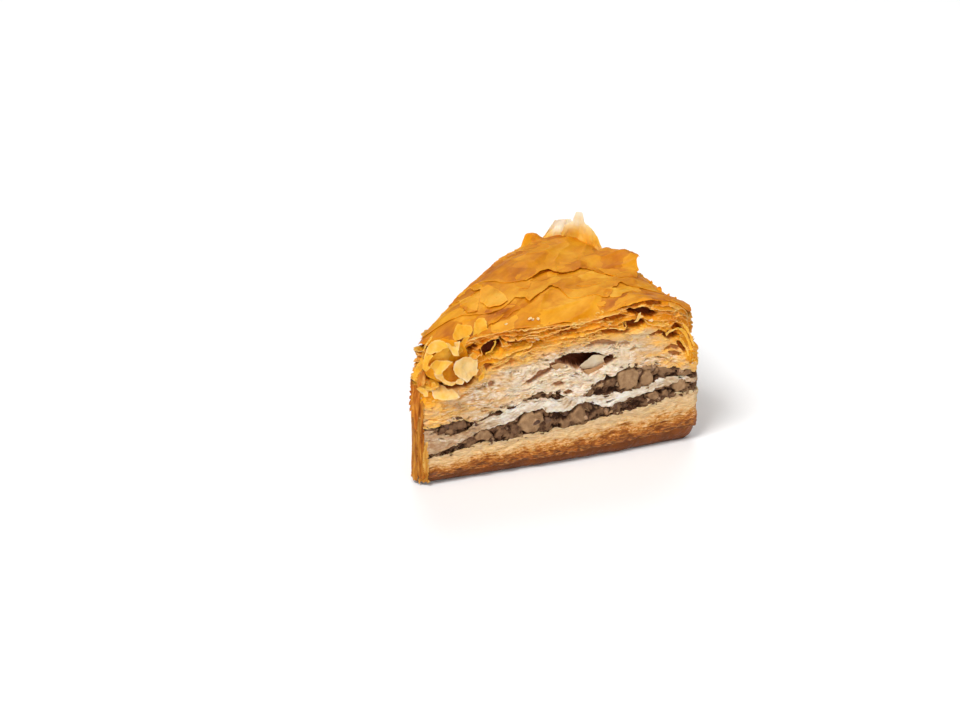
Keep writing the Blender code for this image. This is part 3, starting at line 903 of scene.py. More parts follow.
# Openings in the front cut: how deep, how soft their rims are, and their outlines as (x, z) in millimetres.
FRONT_HOLLOWS = {
    "left_hole": (2.6, 0.3, ((-17.2, 27.2), (-16.6, 28.1), (-15.4, 28.7), (-13.8, 28.4), (-13.4, 29),
        (-12.9, 28.6), (-12.8, 28), (-13.4, 27.2), (-14, 26.2), (-15.3, 25.4), (-16.4, 25.7),
        (-17.2, 26.3))),
    "under_flakes": (2.2, 0.5, ((-29, 24.1), (-28, 22.8), (-26.5, 22), (-25.3, 21.3), (-23.5, 20.9),
        (-21.2, 20.7), (-20.1, 21.6), (-19.2, 22), (-18.4, 21.3), (-19.4, 20.1), (-20.8, 19.8),
        (-23.1, 19.7), (-24.3, 19.9), (-25.5, 21), (-27.4, 22.1), (-28.8, 22.4))),
    "lip_pocket": (1.6, 0.3, ((-21.2, 26.4), (-19.7, 27.7), (-18.6, 28.2), (-18.2, 27.8), (-19.3, 27.1),
        (-19.5, 26.5), (-20.5, 26.2))),
    "brown_mark": (1.0, 0.25, ((-16.6, 23.6), (-15.8, 23.7), (-14.8, 23.7), (-15, 23.4), (-15.5, 23.1),
        (-15.9, 22.7), (-16.5, 23.2))),
    "amber_mark": (0.9, 0.25, ((-15.7, 19.7), (-15.2, 20), (-14.6, 20.1), (-14.5, 19.4), (-15, 19.1),
        (-15.5, 19.2))),
    "left_slot": (1.5, 0.3, ((-12.7, 28.1), (-10.3, 27.9), (-8.6, 27.7), (-7.9, 27.3), (-8.7, 26.8),
        (-10.1, 26.7), (-10.5, 27.3), (-12.2, 27.7))),
    "tuft_slot": (1.0, 0.3, ((-6.5, 26.8), (-5.5, 27.1), (-4.6, 27), (-4.9, 26.5), (-6.1, 26.4))),
    "left_crease": (0.8, 0.3, ((-12.1, 25.2), (-10.3, 25.6), (-8.6, 26.1), (-8.4, 25.7), (-10.3, 25.1),
        (-12.1, 24.7))),
    "long_slot": (0.9, 0.25, ((-2.2, 28.4), (-0.7, 28.5), (1.2, 28.5), (2.9, 28.3), (2.7, 28), (0.7, 28),
        (-2, 27.9))),
    "lens": (0.9, 0.35, ((4.7, 26.7), (7, 27.3), (9, 27.4), (10.9, 27.1), (12.9, 26.7), (14.2, 26.2),
        (12.9, 26), (9, 26.6), (6.5, 26.6))),
    "upper_slot": (1.0, 0.35, ((7.2, 29.8), (8.9, 30), (10.9, 30.1), (12.4, 29.8), (13.2, 29.4),
        (11.8, 29.3), (9.9, 29.2), (8.3, 29.4))),
    "right_hole": (1.9, 0.35, ((11.9, 27.9), (12.8, 28.2), (14.4, 28.3), (14.9, 28), (16, 28.5), (17, 28.1),
        (17.1, 27.4), (15.8, 26.8), (14.4, 26.7), (13.1, 27))),
    "crust_hole": (2.1, 0.35, ((13.4, 30.7), (14.9, 30.6), (16.9, 30.5), (17.9, 30.1), (18.9, 29.5),
        (19.7, 28.9), (18.9, 28.3), (17.9, 28.6), (16.7, 29), (16, 29.4), (15, 29.7), (13.8, 30.1))),
    "crust_slot": (0.9, 0.25, ((17.7, 31.3), (19.1, 31.4), (20.6, 31), (20.7, 30.7), (19.3, 30.7),
        (18.1, 30.9))),
    "corner_hole": (1.8, 0.3, ((21.5, 24), (22.3, 24.6), (23.1, 24.4), (23.7, 24.7), (24.6, 24),
        (24.8, 23.3), (23.8, 23), (22.8, 23.1), (21.8, 23.5))),
    "corner_slot": (1.5, 0.2, ((23.3, 25.3), (24.1, 25.7), (25.2, 25.2), (25.4, 24.6), (24.5, 25),
        (23.7, 25))),
    "corner_slash": (1.3, 0.2, ((24.6, 22), (25.2, 21.7), (26.6, 20), (26.4, 19.6), (25.4, 20.5))),
    "corner_arc": (0.8, 0.15, ((21.8, 21), (23.2, 21.6), (24.8, 20.8), (24.6, 20.5), (23.3, 21.1))),
    "corner_arc_low": (0.8, 0.15, ((22.7, 20.2), (23.8, 20), (25.2, 19.5), (25.1, 19.2), (23.6, 19.5))),
    "cream_slot": (1.0, 0.2, ((18.6, 24.7), (20.4, 25.1), (21.6, 24.4), (21.4, 24.1), (20.3, 24.7),
        (18.8, 24.4))),
    "white_slot": (0.8, 0.3, ((4.3, 24.6), (6.1, 25.1), (7.6, 25.3), (9.6, 24.8), (11.1, 24.1), (11, 23.8),
        (9, 24.1), (7, 24.5), (5.7, 24.4))),
    "white_slot_end": (0.5, 0.25, ((11.6, 24), (12.9, 24.2), (13.8, 23.6), (13.6, 23.3), (12.5, 23.7),
        (11.6, 23.7))),
    "hollow": (4.2, 0.35, ((-1.7, 22.4), (-0.2, 22.9), (1.2, 23.3), (3.2, 22.9), (5.1, 22.9), (6.7, 22.6),
        (8.5, 21.7), (8.1, 20.7), (6.5, 19.8), (4.4, 19.8), (2.5, 20.1), (1.3, 21), (0.1, 21.4),
        (-0.9, 21.9))),
    "black_hole": (3.4, 0.25, ((8.5, 20.9), (9.2, 21.5), (10.3, 21.6), (11.1, 20.9), (10.2, 20.2),
        (9.3, 19.8), (8.7, 20.1))),
    "under_hollow": (1.6, 0.4, ((3.9, 19.6), (5.2, 19.7), (6.7, 19.8), (8.3, 20.6), (9, 20), (8.4, 19.4),
        (7.1, 18.8), (5.4, 18.3), (4.6, 18.8))),
    "left_of_hollow": (1.1, 0.4, ((-3, 21.9), (-1.3, 22.1), (0.2, 21.5), (-0.1, 20.7), (-1.3, 20.4),
        (-2.4, 20.9))),
    "long_tear": (1.3, 0.35, ((-7.8, 18.8), (-5.7, 20.2), (-3.4, 21), (-2.2, 20.7), (-3.6, 19.8),
        (-5.5, 19.1), (-7.2, 18.4))),
    "low_slit": (1.0, 0.25, ((-2.2, 17.6), (-1, 17.8), (0.1, 17.5), (-0.1, 17.1), (-1.2, 17.1))),
    "low_slit_right": (1.0, 0.25, ((0, 15.5), (0.9, 15.6), (1.9, 15.2), (1.5, 14.9), (0.5, 15))),
}
LIP_COUNT = len(FRONT_LIPS)


def streak(place, z, long, tall, layer):
    """Smooth noise drawn out along the leaves, for a place on a side; sizes and z in millimetres."""
    return waves(place.x / (long * MM), place.y / (long * MM), z / tall + layer * 7.3) * 1.6


def lips_at(index):
    """Heights of the golden leaves' lips over one place of the rim, lowest first, then the crust."""
    place = rim_points[index]
    top, gold = crust_height(place) / MM - 0.1, golden_line(place)
    front = front_share(place)
    lips = []
    for number, line in enumerate(FRONT_LIPS):
        usual = gold + (top - gold) * (number + 0.4) / LIP_COUNT + 0.5 * streak(place, 0, 5, 1, number)
        usual += 0.25 * streak(place, 0, 2, 1, number + 20)
        rag = 0.12 * streak(place, 0, 0.8, 1, number + 40) + 0.08 * streak(place, 0, 0.4, 1, number + 60)
        z = front * between(line, place.x / MM) + (1 - front) * usual + rag
        lips.append(min(z, top - 0.3 * (LIP_COUNT - number)))
    return sorted(lips) + [top]


# How far the lips stand out along the front cut.
LIP_CALM = ((8, 1.0), (16, 0.7), (22, 0.45), (29, 0.5))


def lip_reach(place, number):
    """How far a lip stands out of the side, in millimetres, and how deep the leaf over it is set back."""
    reach = 0.4 + 0.45 * streak(place, 0, 3.4, 1, number + 80) + 0.2 * streak(place, 0, 1.1, 1, number + 100)
    back = 0.75 + 0.8 * streak(place, 0, 4, 1, number + 120)
    if on_front(place):
        calm = between(LIP_CALM, place.x / MM)
        reach, back = reach * calm, back * calm
    return max(-0.1, reach), max(0.05, back)


def inside_by(x, z, outline):
    """How far inside an outline a place is, in the outline's unit; below zero outside it."""
    inside, nearest = False, 99.0
    for (x0, z0), (x1, z1) in zip(outline, outline[1:] + outline[:1]):
        if (z0 > z) != (z1 > z) and x < (x1 - x0) * (z - z0) / (z1 - z0) + x0:
            inside = not inside
        dx, dz = x1 - x0, z1 - z0
        share = clamp(((x - x0) * dx + (z - z0) * dz) / (dx * dx + dz * dz))
        nearest = min(nearest, math.hypot(x - x0 - dx * share, z - z0 - dz * share))
    return nearest if inside else -nearest


HOLLOW_BOXES = [(min(x for x, _ in line), max(x for x, _ in line), min(z for _, z in line),
                 max(z for _, z in line), deep, soft, line) for deep, soft, line in FRONT_HOLLOWS.values()]


def hollow_at(place, z):
    """How deep an opening is at a place on the side, in millimetres."""
    deepest = 0.0
    x = place.x / MM + 0.12 * streak(place, z, 0.7, 0.5, 140)
    if on_front(place):
        z = z + 0.12 * streak(place, z, 0.7, 0.5, 141)
        for low_x, high_x, low_z, high_z, deep, soft, line in HOLLOW_BOXES:
            if low_x - 0.3 < x < high_x + 0.3 and low_z - 0.3 < z < high_z + 0.3:
                share = clamp((inside_by(x, z, line) + 0.28) / soft)
                deepest = max(deepest, deep * share * share * (3 - 2 * share))
    else:
        deepest = max(0.0, streak(place, z, 5, 1.1, 142) - 0.62) * 7
    return deepest


# Soft stains on the front leaves: middle and half sizes in millimetres, and how much more they are toasted.
FRONT_STAINS = (
    (-27.9, 16.9, 3.2, 3.8, 3.2), (-22.2, 18.3, 3.5, 1.6, 1.6), (27.8, 19.1, 2.0, 3.2, 3.4),
    (-17.5, 20.7, 3.0, 2.0, 1.4), (11, 19, 2.0, 1.0, 1.0), (2.6, 17.2, 1.3, 1.0, 1.8),
    (-7.9, 23.1, 3.5, 1.2, 1.2), (19.3, 21.4, 3.0, 1.0, 0.9), (-5.5, 19.6, 3.5, 0.9, 1.6),
    (16.5, 25.1, 3.2, 1.0, -1.5), (18.5, 25.9, 3.0, 0.8, -1.2)
)


def stain_at(place, z):
    if place.y > LEFT.y + 4 * MM:
        return 0.0
    x = place.x / MM
    return sum(more * math.exp(-((x - at_x) / half_x) ** 2 - ((z - at_z) / half_z) ** 2)
               for at_x, at_z, half_x, half_z, more in FRONT_STAINS)


# How strongly the torn white leaves stand out along the front cut.
FRONT_CALM = ((-30, 0.8), (-22, 1.0), (0, 1.0), (9, 0.6), (14, 0.45), (22, 0.5), (26, 0.9))


def fibre_relief(place, z, layer=0):
    """How far torn white leaves stand out at a place on a side, and how much of a ridge that is."""
    calm = 1.0
    if on_front(place):
        calm = between(FRONT_CALM, place.x / MM)
    warped = z + 0.9 * streak(place, z, 4, 4, layer + 1) + 0.4 * streak(place, z, 1.3, 1.5, layer + 2)
    sheets = 1 - 2 * abs(streak(place, warped, 3.4, 1.1, layer + 3))
    fibres = 1 - 2 * abs(streak(place, warped, 1.1, 0.4, layer + 4))
    grain = streak(place, z, 0.4, 0.3, layer + 5)
    slit = max(0.0, streak(place, warped, 2.2, 0.5, layer + 6) - 0.72 + 0.15 * (calm - 0.5))
    out = calm * (0.24 * sheets + 0.11 * fibres) + 0.06 * grain - 2.6 * slit
    return out, (fibres * 0.7 + grain * 0.5) * calm


def golden_relief(index, place, z):
    """How far the golden leaves stand out at a place on a side, how near a lip, and how deeply set back."""
    lips = LIPS[index]
    number = max((k for k in range(LIP_COUNT) if lips[k] <= z), default=0)
    below, above = lips[number], lips[number + 1]
    share = clamp((z - below) / max(0.05, above - below))
    reach, _ = lip_reach(place, number)
    _, back = lip_reach(place, number + 1)
    back *= min(1.0, (above - below) / 0.9)
    out = reach * (1 - share) ** 0.6 - back * share ** 1.5
    out += 0.22 * streak(place, z, 1.6, 2.0, 150) + 0.07 * streak(place, z, 0.5, 0.6, 151)
    return out, math.exp(-(z - below) / 0.2), back * share ** 1.5


def top_relief(index, z):
    """The relief and the marks of the top layer's side at a height in millimetres."""
    place = rim_points[index]
    gold = golden_line(place)
    out, ridge = fibre_relief(place, z)
    edge, set_back = 0.0, 0.0
    first = LIPS[index][0]
    if z > first:
        out, edge, set_back = golden_relief(index, place, z)
    hollow = hollow_at(place, z)
    edge *= max(0.0, 1 - hollow)
    # The depth of the openings and the set-back of the leaves also mark where shade is painted.
    marks = {"toast": z - gold + stain_at(place, z), "edge": edge, "ridge": ridge, "warmth": WARMTHS[index],
             "hollow": min(1.0, hollow / 2.2 + max(0.0, set_back - 0.3) * 0.28)}
    return out - hollow - corner_trim(place, z), marks


def wall(name, node, material, rows, span, relief, marks):
    """The torn outside of a layer, closed over and under. span(index) gives its lowest and highest mm."""
    count = len(rim_points)
    points, noted = [], {mark: [] for mark in marks}
    for row in range(rows + 1):
        for index in range(count):
            low, high = span(index)
            z = low + (high - low) * row / rows
            out, found = relief(index, z)
            place = inward(index, -out * MM)
            points.append((place.x, place.y, z * MM))
            for mark in marks:
                noted[mark].append(found[mark])
    ends = points[0][2], points[-count][2]
    return shown(closed_rings(name, points, count, *ends, material, noted), node)


def height_span(low, high, from_share, to_share):
    """The lowest and highest millimetre over each rim point between two shares of a layer."""
    spans = []
    for place in rim_points:
        bottom = level(low, place) / MM
        top = layer_top(high, place) / MM
        spans.append((bottom + (top - bottom) * from_share, bottom + (top - bottom) * to_share))
    return spans.__getitem__


# How soaked the leaves between the nuts are along the front.
WET_BAND = (
    (-29, 1.0), (-20, 0.95), (-16, 0.6), (-12, 0.2), (-6, 0.05), (14, 0.0), (20, 0.3), (25, 0.7), (29, 0.9)
)


def band_relief(index, z):
    """The moist leaves between the nuts: soft, close together and pale."""
    place = rim_points[index]
    out, ridge = fibre_relief(place, z, 200)
    front = front_share(place)
    wet = front * between(WET_BAND, place.x / MM) + (1 - front) * 0.4
    return 0.1 + out * 0.6, {"ridge": ridge, "hollow": max(0.0, -out - 0.3), "wet": wet}


def base_relief(index, z):
    """The soaked leaves under the nuts, thicker and rounder than those above."""
    place = rim_points[index]
    top = level("base_top", place) / MM
    warped = z + 0.5 * streak(place, z, 5, 5, 220) + 0.2 * streak(place, z, 1.6, 1.6, 221)
    leaves = 1 - 2 * abs(streak(place, warped, 6, 1.5, 222))
    fibres = 1 - 2 * abs(streak(place, warped, 2.2, 0.6, 223))
    out = (0.22 * leaves + 0.12 * fibres + 0.12 * streak(place, z, 1.6, 1.2, 224)
           + 0.04 * streak(place, z, 0.5, 0.4, 225))
    return out, {"share": z / top, "ridge": fibres, "edge": 0.0, "hollow": max(0.0, -out * 1.5)}


# Walnut pieces cut through at the front: middle, half width and half height in millimetres, and paleness.
CUT_NUTS = (
    (14.1, 15.9, 2.5, 2.2, 0.95), (17.9, 15.6, 1.5, 1.7, 0.85), (17.8, 17.7, 1.0, 0.5, 0.9),
    (21.5, 16.4, 1.0, 0.7, 0.6), (23.2, 16.2, 0.8, 0.6, 0.5), (26.5, 15.2, 1.6, 0.7, 0.75),
    (10.5, 15.5, 1.1, 0.8, 0.35), (7.8, 15.5, 0.6, 0.5, 1.25), (-6.8, 10.3, 2.6, 2.2, 0.9),
    (3.2, 10.1, 1.7, 1.8, 0.8), (0.2, 8.7, 1.3, 1.0, 0.8), (25.3, 12.7, 1.7, 1.4, 0.9),
    (19.5, 11.4, 1.1, 1.0, 0.8), (19.2, 10, 0.7, 0.6, 0.15), (21.9, 11.7, 0.9, 0.9, 0.6),
    (-17, 8.9, 1.7, 1.1, 0.85), (-13.2, 8.6, 1.3, 0.9, 0.45), (-21.1, 11.8, 1.3, 1.0, 0.45),
    (-23.7, 10.8, 1.0, 0.6, 0.7), (-25.2, 11.3, 0.9, 0.7, 0.2), (-10.1, 9, 0.8, 0.8, 0.3)
)


def cut_nut_at(x, z):
    """The cut walnut piece at a place on the front: how far inside it is, and how pale the piece is."""
    best = (-1.0, 0.0)
    for middle_x, middle_z, half_width, half_height, pale in CUT_NUTS:
        away = math.hypot((x - middle_x) / half_width, (z - middle_z) / half_height)
        best = max(best, ((1 - away) * min(half_width, half_height), pale))
    return best


def crumb_relief(index, z):
    """Chopped walnut packed between the leaves: soft lumps, a few crevices and whole cut pieces. The
    crevices, and rings round the cut pieces, get painted shade.
    """
    place = rim_points[index]
    x = place.x / MM
    spot = Vector((x, place.y / MM, z))
    spot += Vector((streak(place, z, 1.1, 1.1, 230), streak(place, z, 1.1, 1.1, 231),
                    streak(place, z, 1.1, 1.1, 232))) * 0.5
    far, near = noise.voronoi(spot / 1.5)
    fine, _ = noise.voronoi(spot / 0.6)
    deep = clamp(0.3 + 2.0 * streak(place, z, 2.2, 1.4, 233))
    crevice = (1 - min(1.0, (far[1] - far[0]) / 0.36)) * deep
    small = clamp(0.1 + 2.0 * streak(place, z, 1.5, 1.0, 238))
    crevice = max(crevice, (1 - min(1.0, (fine[1] - fine[0]) / 0.35)) * small)
    out = 0.35 - far[0] ** 2 * 0.6 - crevice * 0.8 + (0.3 - fine[0] ** 2) * 0.35
    pale = 0.42 + 0.7 * noise.noise(near[0] * 3.7)
    if on_front(place):
        wobble = 0.35 * streak(place, z, 0.9, 0.9, 234) + 0.25 * streak(place, z, 2, 2, 235)
        inside, nut_pale = cut_nut_at(x, z)
        inside += wobble
        if inside > 0:
            share = min(1.0, inside / 0.25)
            out = out * (1 - share) + share * (0.35 + 0.1 * streak(place, z, 1.4, 1.4, 236))
            pale = pale * (1 - share) + share * nut_pale
            crevice *= 1 - share
        else:
            # Round each cut piece the crumb dips and gets painted shade.
            crevice = max(crevice, 0.8 * math.exp(inside / 0.2) * deep)
            out -= 0.6 * math.exp(inside / 0.25) * (0.3 + 0.7 * deep)
    return out - 0.2, {"pale": pale, "crevice": crevice}


def lip_leaf(first, count, number, out, curl, seed, rows=8):
    """A free leaf edge that follows one lip of the golden leaves along part of the rim."""
    points, faces, edges, toasts, shaded_hollows = [], [], [], [], []
    for step in range(count + 1):
        index = (first + step) % len(rim_points)
        spot = rim_points[index]
        ends = min(1.0, 5 * step / count, 5 * (count - step) / count)
        rag = streak(spot, seed, 1.3, 1, 160) * 0.35 + streak(spot, seed, 0.45, 1, 161) * 0.2
        reach, _ = lip_reach(spot, number)
        _, back = lip_reach(spot, number + 1)
        lips = LIPS[index]
        near = min((spot - corner).length for corner in CORNERS) / MM
        tip = (reach + out * ends + rag * ends * out * 1.2) * min(1.0, max(0.1, (near - 2.5) / 5))
        bend = curl * ends * (0.6 + streak(spot, seed, 3, 1, 162))
        for row in range(rows + 1):
            share = row / rows
            depth = -tip + (1.6 + tip) * share ** 1.3 + hollow_at(spot, lips[number] + 0.2) * 1.05
            depth += corner_trim(spot, lips[number])
            climb = clamp((reach + depth) / (reach + back))
            z = lips[number] + (lips[min(number + 1, LIP_COUNT)] - lips[number]) * climb * 0.85 + 0.1
            z += bend * (1 - share) ** 3 + 0.1 * streak(spot, share * 2, 0.9, 1, 163 + seed)
            place = inward(index, depth * MM)
            points.append((place.x, place.y, z * MM))
            edges.append((1 - share) ** 5)
            toasts.append(z - golden_line(spot))
            shaded_hollows.append(0.0)
    for step in range(count):
        for row in range(rows):
            a = step * (rows + 1) + row
            faces.append((a, a + rows + 1, a + rows + 2, a + 1))
    mesh = mesh_of("lip", points, faces)
    for label, values in (("edge", edges), ("toast", toasts), ("hollow", shaded_hollows), ("ridge", edges)):
        note(mesh, label, values)
    mesh.materials.append(LEAF)
    obj = new_object("lip", mesh)
    thicken(obj, 0.12 * MM)
    return plain(obj, 60)


LIPS = [lips_at(index) for index in range(len(rim_points))]
WARMTHS = [creaminess(place) for place in rim_points]


# ---------------------------------------------------------------- walnuts

def nut_spots(low, high, spread, sizes, seed):
    """Places for chopped pieces along the cut sides of a nut layer, none too near another."""
    draw = random.Random(seed)
    spots = []
    for size in sizes:
        for _ in range(spread):
            index = draw.randrange(len(rim_points))
            radius = size * MM * draw.uniform(0.42, 0.6)
            place = inward(index, radius * draw.uniform(0.5, 1.5))
            bottom, top = level(low, place), level(high, place)
            z = bottom + (top - bottom) * draw.uniform(0.12, 0.88)
            spot = Vector((place.x, place.y, z))
            if all((spot - other).length > 0.78 * (radius + room) for other, room, _ in spots):
                spots.append((spot, radius, draw.random() ** 3))
    return spots


def chunk_tree():
    """Puts a knobbly, cut piece of walnut on each point."""
    tree, bench, given = new_tree("walnut_pieces", Rounds=3, Knobs=0.3, Material=None)
    ball = bench.add("GeometryNodeMeshIcoSphere", None,
                     {"Radius": 1.0, "Subdivisions": given["Rounds"]}, "Mesh")
    pieces = instances(bench, given["Geometry"], ball)
    number = bench.add("GeometryNodeInputIndex")
    pieces = keep(bench, pieces, "piece", number, "INT", "INSTANCE")
    pieces = realized(bench, keep(bench, pieces, "spot", position(bench), "FLOAT_VECTOR", "INSTANCE"))
    number, middle = read(bench, "piece", "INT"), read(bench, "spot", "FLOAT_VECTOR")
    radius = read(bench, "radius")
    here = position(bench) - middle
    shift = bench.join(number * 0.013, number * 0.007, 0.0)
    here = here * (1 + given["Knobs"] * bench.grain(here + shift, 1.5 * MM)
                   + given["Knobs"] * 0.4 * bench.grain(here + shift, 0.6 * MM))
    cut = 0.0
    for knife in range(4):
        way = bench.add("FunctionNodeRandomValue", {"data_type": "FLOAT_VECTOR"},
                        {0: (-1, -1, -1), 1: (1, 1, 1), "ID": number, "Seed": 11 + knife}).unit()
        limit = bench.add("FunctionNodeRandomValue", {"data_type": "FLOAT"},
                          {2: 0.35, 3: 0.8, "ID": number, "Seed": 51 + knife})
        over = (here.dot(way) - radius * limit).at_least(0.0)
        here = here - way * over
        cut = over.above(0.0) + cut
    pieces = keep(bench, pieces, "cut", cut.at_most(1.0))
    finished(bench, pieces, here + middle, given["Material"])
    return tree


CHUNKS = chunk_tree()


def nut_pieces(name, node, spots, rounds, knobs, seed):
    draw = random.Random(seed)
    mesh = mesh_of(name, [spot for spot, _, _ in spots], [])
    turns = [[draw.uniform(0, math.tau) for _ in range(3)] for _ in spots]
    bulks = [(radius, radius * draw.uniform(0.7, 0.95), radius * draw.uniform(0.6, 0.85))
             for _, radius, _ in spots]
    note(mesh, "turn", turns)
    note(mesh, "bulk", bulks)
    note(mesh, "radius", [radius for _, radius, _ in spots])
    note(mesh, "pale", [pale for _, _, pale in spots])
    obj = new_object(name, mesh)
    run_tree(obj, CHUNKS, Rounds=rounds, Knobs=knobs, Material=NUT)
    return shown(plain(obj, 50), node)


# ---------------------------------------------------------------- the underside

UNDERSIDE_EDGE = 0.9 * MM
UNDERSIDE_INSET = 2.2 * MM
UNDERSIDE_TOP = 0.42
RIGHT_CORNER_LIFT = 2.2 * MM


def underside(name, node, rows=12):
    """The glossy bottom crust: a flat face, a round edge and a lumpy wall under the soaked leaves."""
    count = len(rim_points)
    flat = [inward(index, UNDERSIDE_INSET) for index in range(count)]
    points = [(place.x, place.y, 0.0) for place in flat]
    for row in range(rows + 1):
        share = row / rows
        for index, rim_point in enumerate(rim_points):
            lift = RIGHT_CORNER_LIFT * max(0.0, shares_of(rim_point)[1] - 0.8) / 0.2
            start = UNDERSIDE_EDGE + lift
            round_in = (1 - min(1.0, share * 3)) ** 2 * 0.9 * MM
            top = level("base_top", rim_point) * UNDERSIDE_TOP
            z = start * (0.35 + 0.65 * min(1.0, share * 3)) + (top - start) * share
            spot = Vector((rim_point.x, rim_point.y, z))
            lump = noise.noise(spot / (3.5 * MM)) * 0.45 + noise.noise(spot / (1.2 * MM)) * 0.2
            place = inward(index, max(0.0, round_in - lump * 0.7 * MM + 0.35 * MM))
            points.append((place.x, place.y, z))
    top = level("base_top", CENTRE) * UNDERSIDE_TOP
    return shown(closed_rings(name, points, count, 0.0, top, UNDERSIDE), node)


# ---------------------------------------------------------------- the browned top

# Long folds of the top: two ends, half width and height, in millimetres.
FOLDS = (
    ((19.5, 17.5), (5.0, 1.5), 1.6, 0.7), ((12.5, 15.0), (-3.0, -4.5), 2.0, 0.6), ((24.0, 8.0), (12.0, -1.0),
    2.2, 0.5), ((-8.0, -6.0), (-20.0, -18.5), 1.6, 0.5), ((6.0, -8.0), (-8.0, -20.0), 2.0, 0.45),
    ((21.0, -9.0), (8.0, -20.0), 1.8, 0.4)
)


def from_leg(point, start, end):
    """Distance from a plan point to a straight leg between two ends."""
    along = end - start
    share = clamp((point - start).dot(along) / along.length_squared)
    return (point - start - along * share).length


def wrinkles(point):
    """Soft folds that run along the left cut, with finer creases between them."""
    along = (point.x * 0.78 + point.y * 0.62) / MM
    across = (point.y * 0.78 - point.x * 0.62) / MM
    broad = waves(along / 17, across / 6.5, 0.3)
    ridge = 1 - abs(waves(along / 11, across / 4.2, 5.1)) * 2.2
    small = waves(along / 4, across / 1.9, 9.7)
    height = broad * 0.6 + max(0.0, ridge) ** 3 * 0.32 + small * 0.10
    for start, end, width, rise in FOLDS:
        far = from_leg(point, Vector(start) * MM, Vector(end) * MM) / MM
        height += rise * math.exp(-(far / width) ** 1.4)
    return height * MM


def reach_of_line(start, way, line):
    """How far from start, along way, a broken line is met, with the share of the leg met, or None."""
    best = None
    for leg, (a, b) in enumerate(zip(line, line[1:])):
        along = b - a
        cross = way.cross(along)
        if abs(cross) < 1e-12:
            continue
        far = (a - start).cross(along) / cross
        share = (a - start).cross(way) / cross
        if far > 0 and -0.001 <= share <= 1.001 and (best is None or far < best[0]):
            best = (far, leg + share)
    return best


def ruffle(place, size, layer):
    """Smooth noise between about -1 and 1 at a plan point, in lumps of a size in millimetres."""
    return noise.noise(Vector((place.x, place.y, layer * 7 * MM)) / (size * MM)) * 1.6


# The top darkens the farther it lies from a point near the middle of the front, given first. The outlines
# after it are places where the top leaf was pressed flat and baked darker, in plan, in millimetres.
GRADIENT_MIDDLE = Vector((3, -16))
DARK_PATCHES = (
    ((-13.9, -16.5), (-8.7, -16.6), (-6.2, -15.3), (-9.3, -20.8), (-13, -22), (-15, -21.5)),
    ((-2.9, -18.1), (0.2, -14.1), (3.3, -12.4), (3.9, -17.2), (3.1, -20.4)),
    ((14.6, -16.8), (23.9, -14.2), (23.5, -17.8), (12.6, -21.6)))


def darkness(point):
    """How much darker the top is at a plan point: in the pressed patches, and more the farther it lies from a
    point near the middle of the front.
    """
    x, y = point.x / MM, point.y / MM
    inside = max(inside_by(x, y, patch) for patch in DARK_PATCHES) + 0.5 * ruffle(point, 1.4, 31)
    away = (point / MM - GRADIENT_MIDDLE).length
    return clamp(inside / 1.4) + 0.9 * min(1.0, away / 30)


LOOSE_RISE = 0.12
TRIM_HEIGHT = 30.0


def crust_sheet(name, border, middle, lift, seed, spokes=420, rings=44, overhang=0.1, ragged=0.45,
                tint=0.5, swells=()):
    """One brittle leaf of the top, cut off along the sides and torn elsewhere.

    The border's points are (x, y, lip) in millimetres: lip is how far the torn edge lifts there.
    Swells are (x, y, radius, rise), also in millimetres."""
    middle = Vector(middle) * MM
    line = [Vector(point[:2]) * MM for point in border] + [Vector(border[0][:2]) * MM]
    lips = [point[2] for point in border] + [border[0][2]]
    outline = rim_points[::3] + rim_points[:1]
    reaches = []
    for spoke in range(spokes):
        angle = math.tau * spoke / spokes
        way = Vector((math.cos(angle), math.sin(angle)))
        torn, leg = reach_of_line(middle, way, line)
        whole, _ = reach_of_line(middle, way, outline)
        leg = min(leg, len(line) - 1.001)
        lip = lips[int(leg)] + (lips[int(leg) + 1] - lips[int(leg)]) * (leg - int(leg))
        spot = middle + way * min(whole, torn)
        limit = whole + (overhang - 1.05 * corner_trim(middle + way * whole, TRIM_HEIGHT)) * MM
        if torn < whole:
            far = torn + (ruffle(spot, 2.4, seed) * 0.7 + ruffle(spot, 0.8, seed + 3) * 0.3) * ragged * MM
            far = min(far, limit)
        else:
            far = limit + (ruffle(spot, 2.6, seed) * 0.2 + ruffle(spot, 0.8, seed) * 0.12) * MM
            lip = 0.25 * ruffle(spot, 5, seed) - 0.1
        reaches.append((way, far, lip))
    points, tints, edges, baked = [], [], [], []

    def add(spot, left, lip):
        curl = math.exp(-left / (1.2 * MM)) * lip * 0.3
        rise = sum(up * math.exp(-((spot - Vector((x, y)) * MM).length / (radius * MM)) ** 2)
                   for x, y, radius, up in swells)
        own = ruffle(spot, 4, seed + 9) * LOOSE_RISE * 0.7
        points.append((spot.x, spot.y, crust_height(spot) + wrinkles(spot) + (lift + curl + rise + own) * MM))
        tints.append(tint)
        baked.append(darkness(spot))
        edges.append(math.exp(-left / (0.15 * MM)))

    add(middle, 1.0, 0.0)
    for ring in range(1, rings + 1):
        share = 1 - (1 - ring / rings) ** 1.3
        for way, far, lip in reaches:
            add(middle + way * far * share, far * (1 - share), lip)
    faces = []
    for i in range(spokes):
        j = (i + 1) % spokes
        faces.append((0, 1 + i, 1 + j))
        for ring in range(rings - 1):
            a, b = 1 + ring * spokes, 1 + (ring + 1) * spokes
            faces.append((a + i, b + i, b + j, a + j))
    return leaf_sheet(name, points, faces, tints, edges, CRUST, baked=baked)


def leaf_sheet(name, points, faces, tints, edges, material, thickness=0.07, baked=None):
    mesh = mesh_of(name, points, faces)
    note(mesh, "tint", tints)
    note(mesh, "edge", edges)
    if baked:
        note(mesh, "baked", baked)
    mesh.materials.append(material)
    obj = new_object(name, mesh)
    thicken(obj, thickness * MM, 1.0)
    return plain(obj, 60)


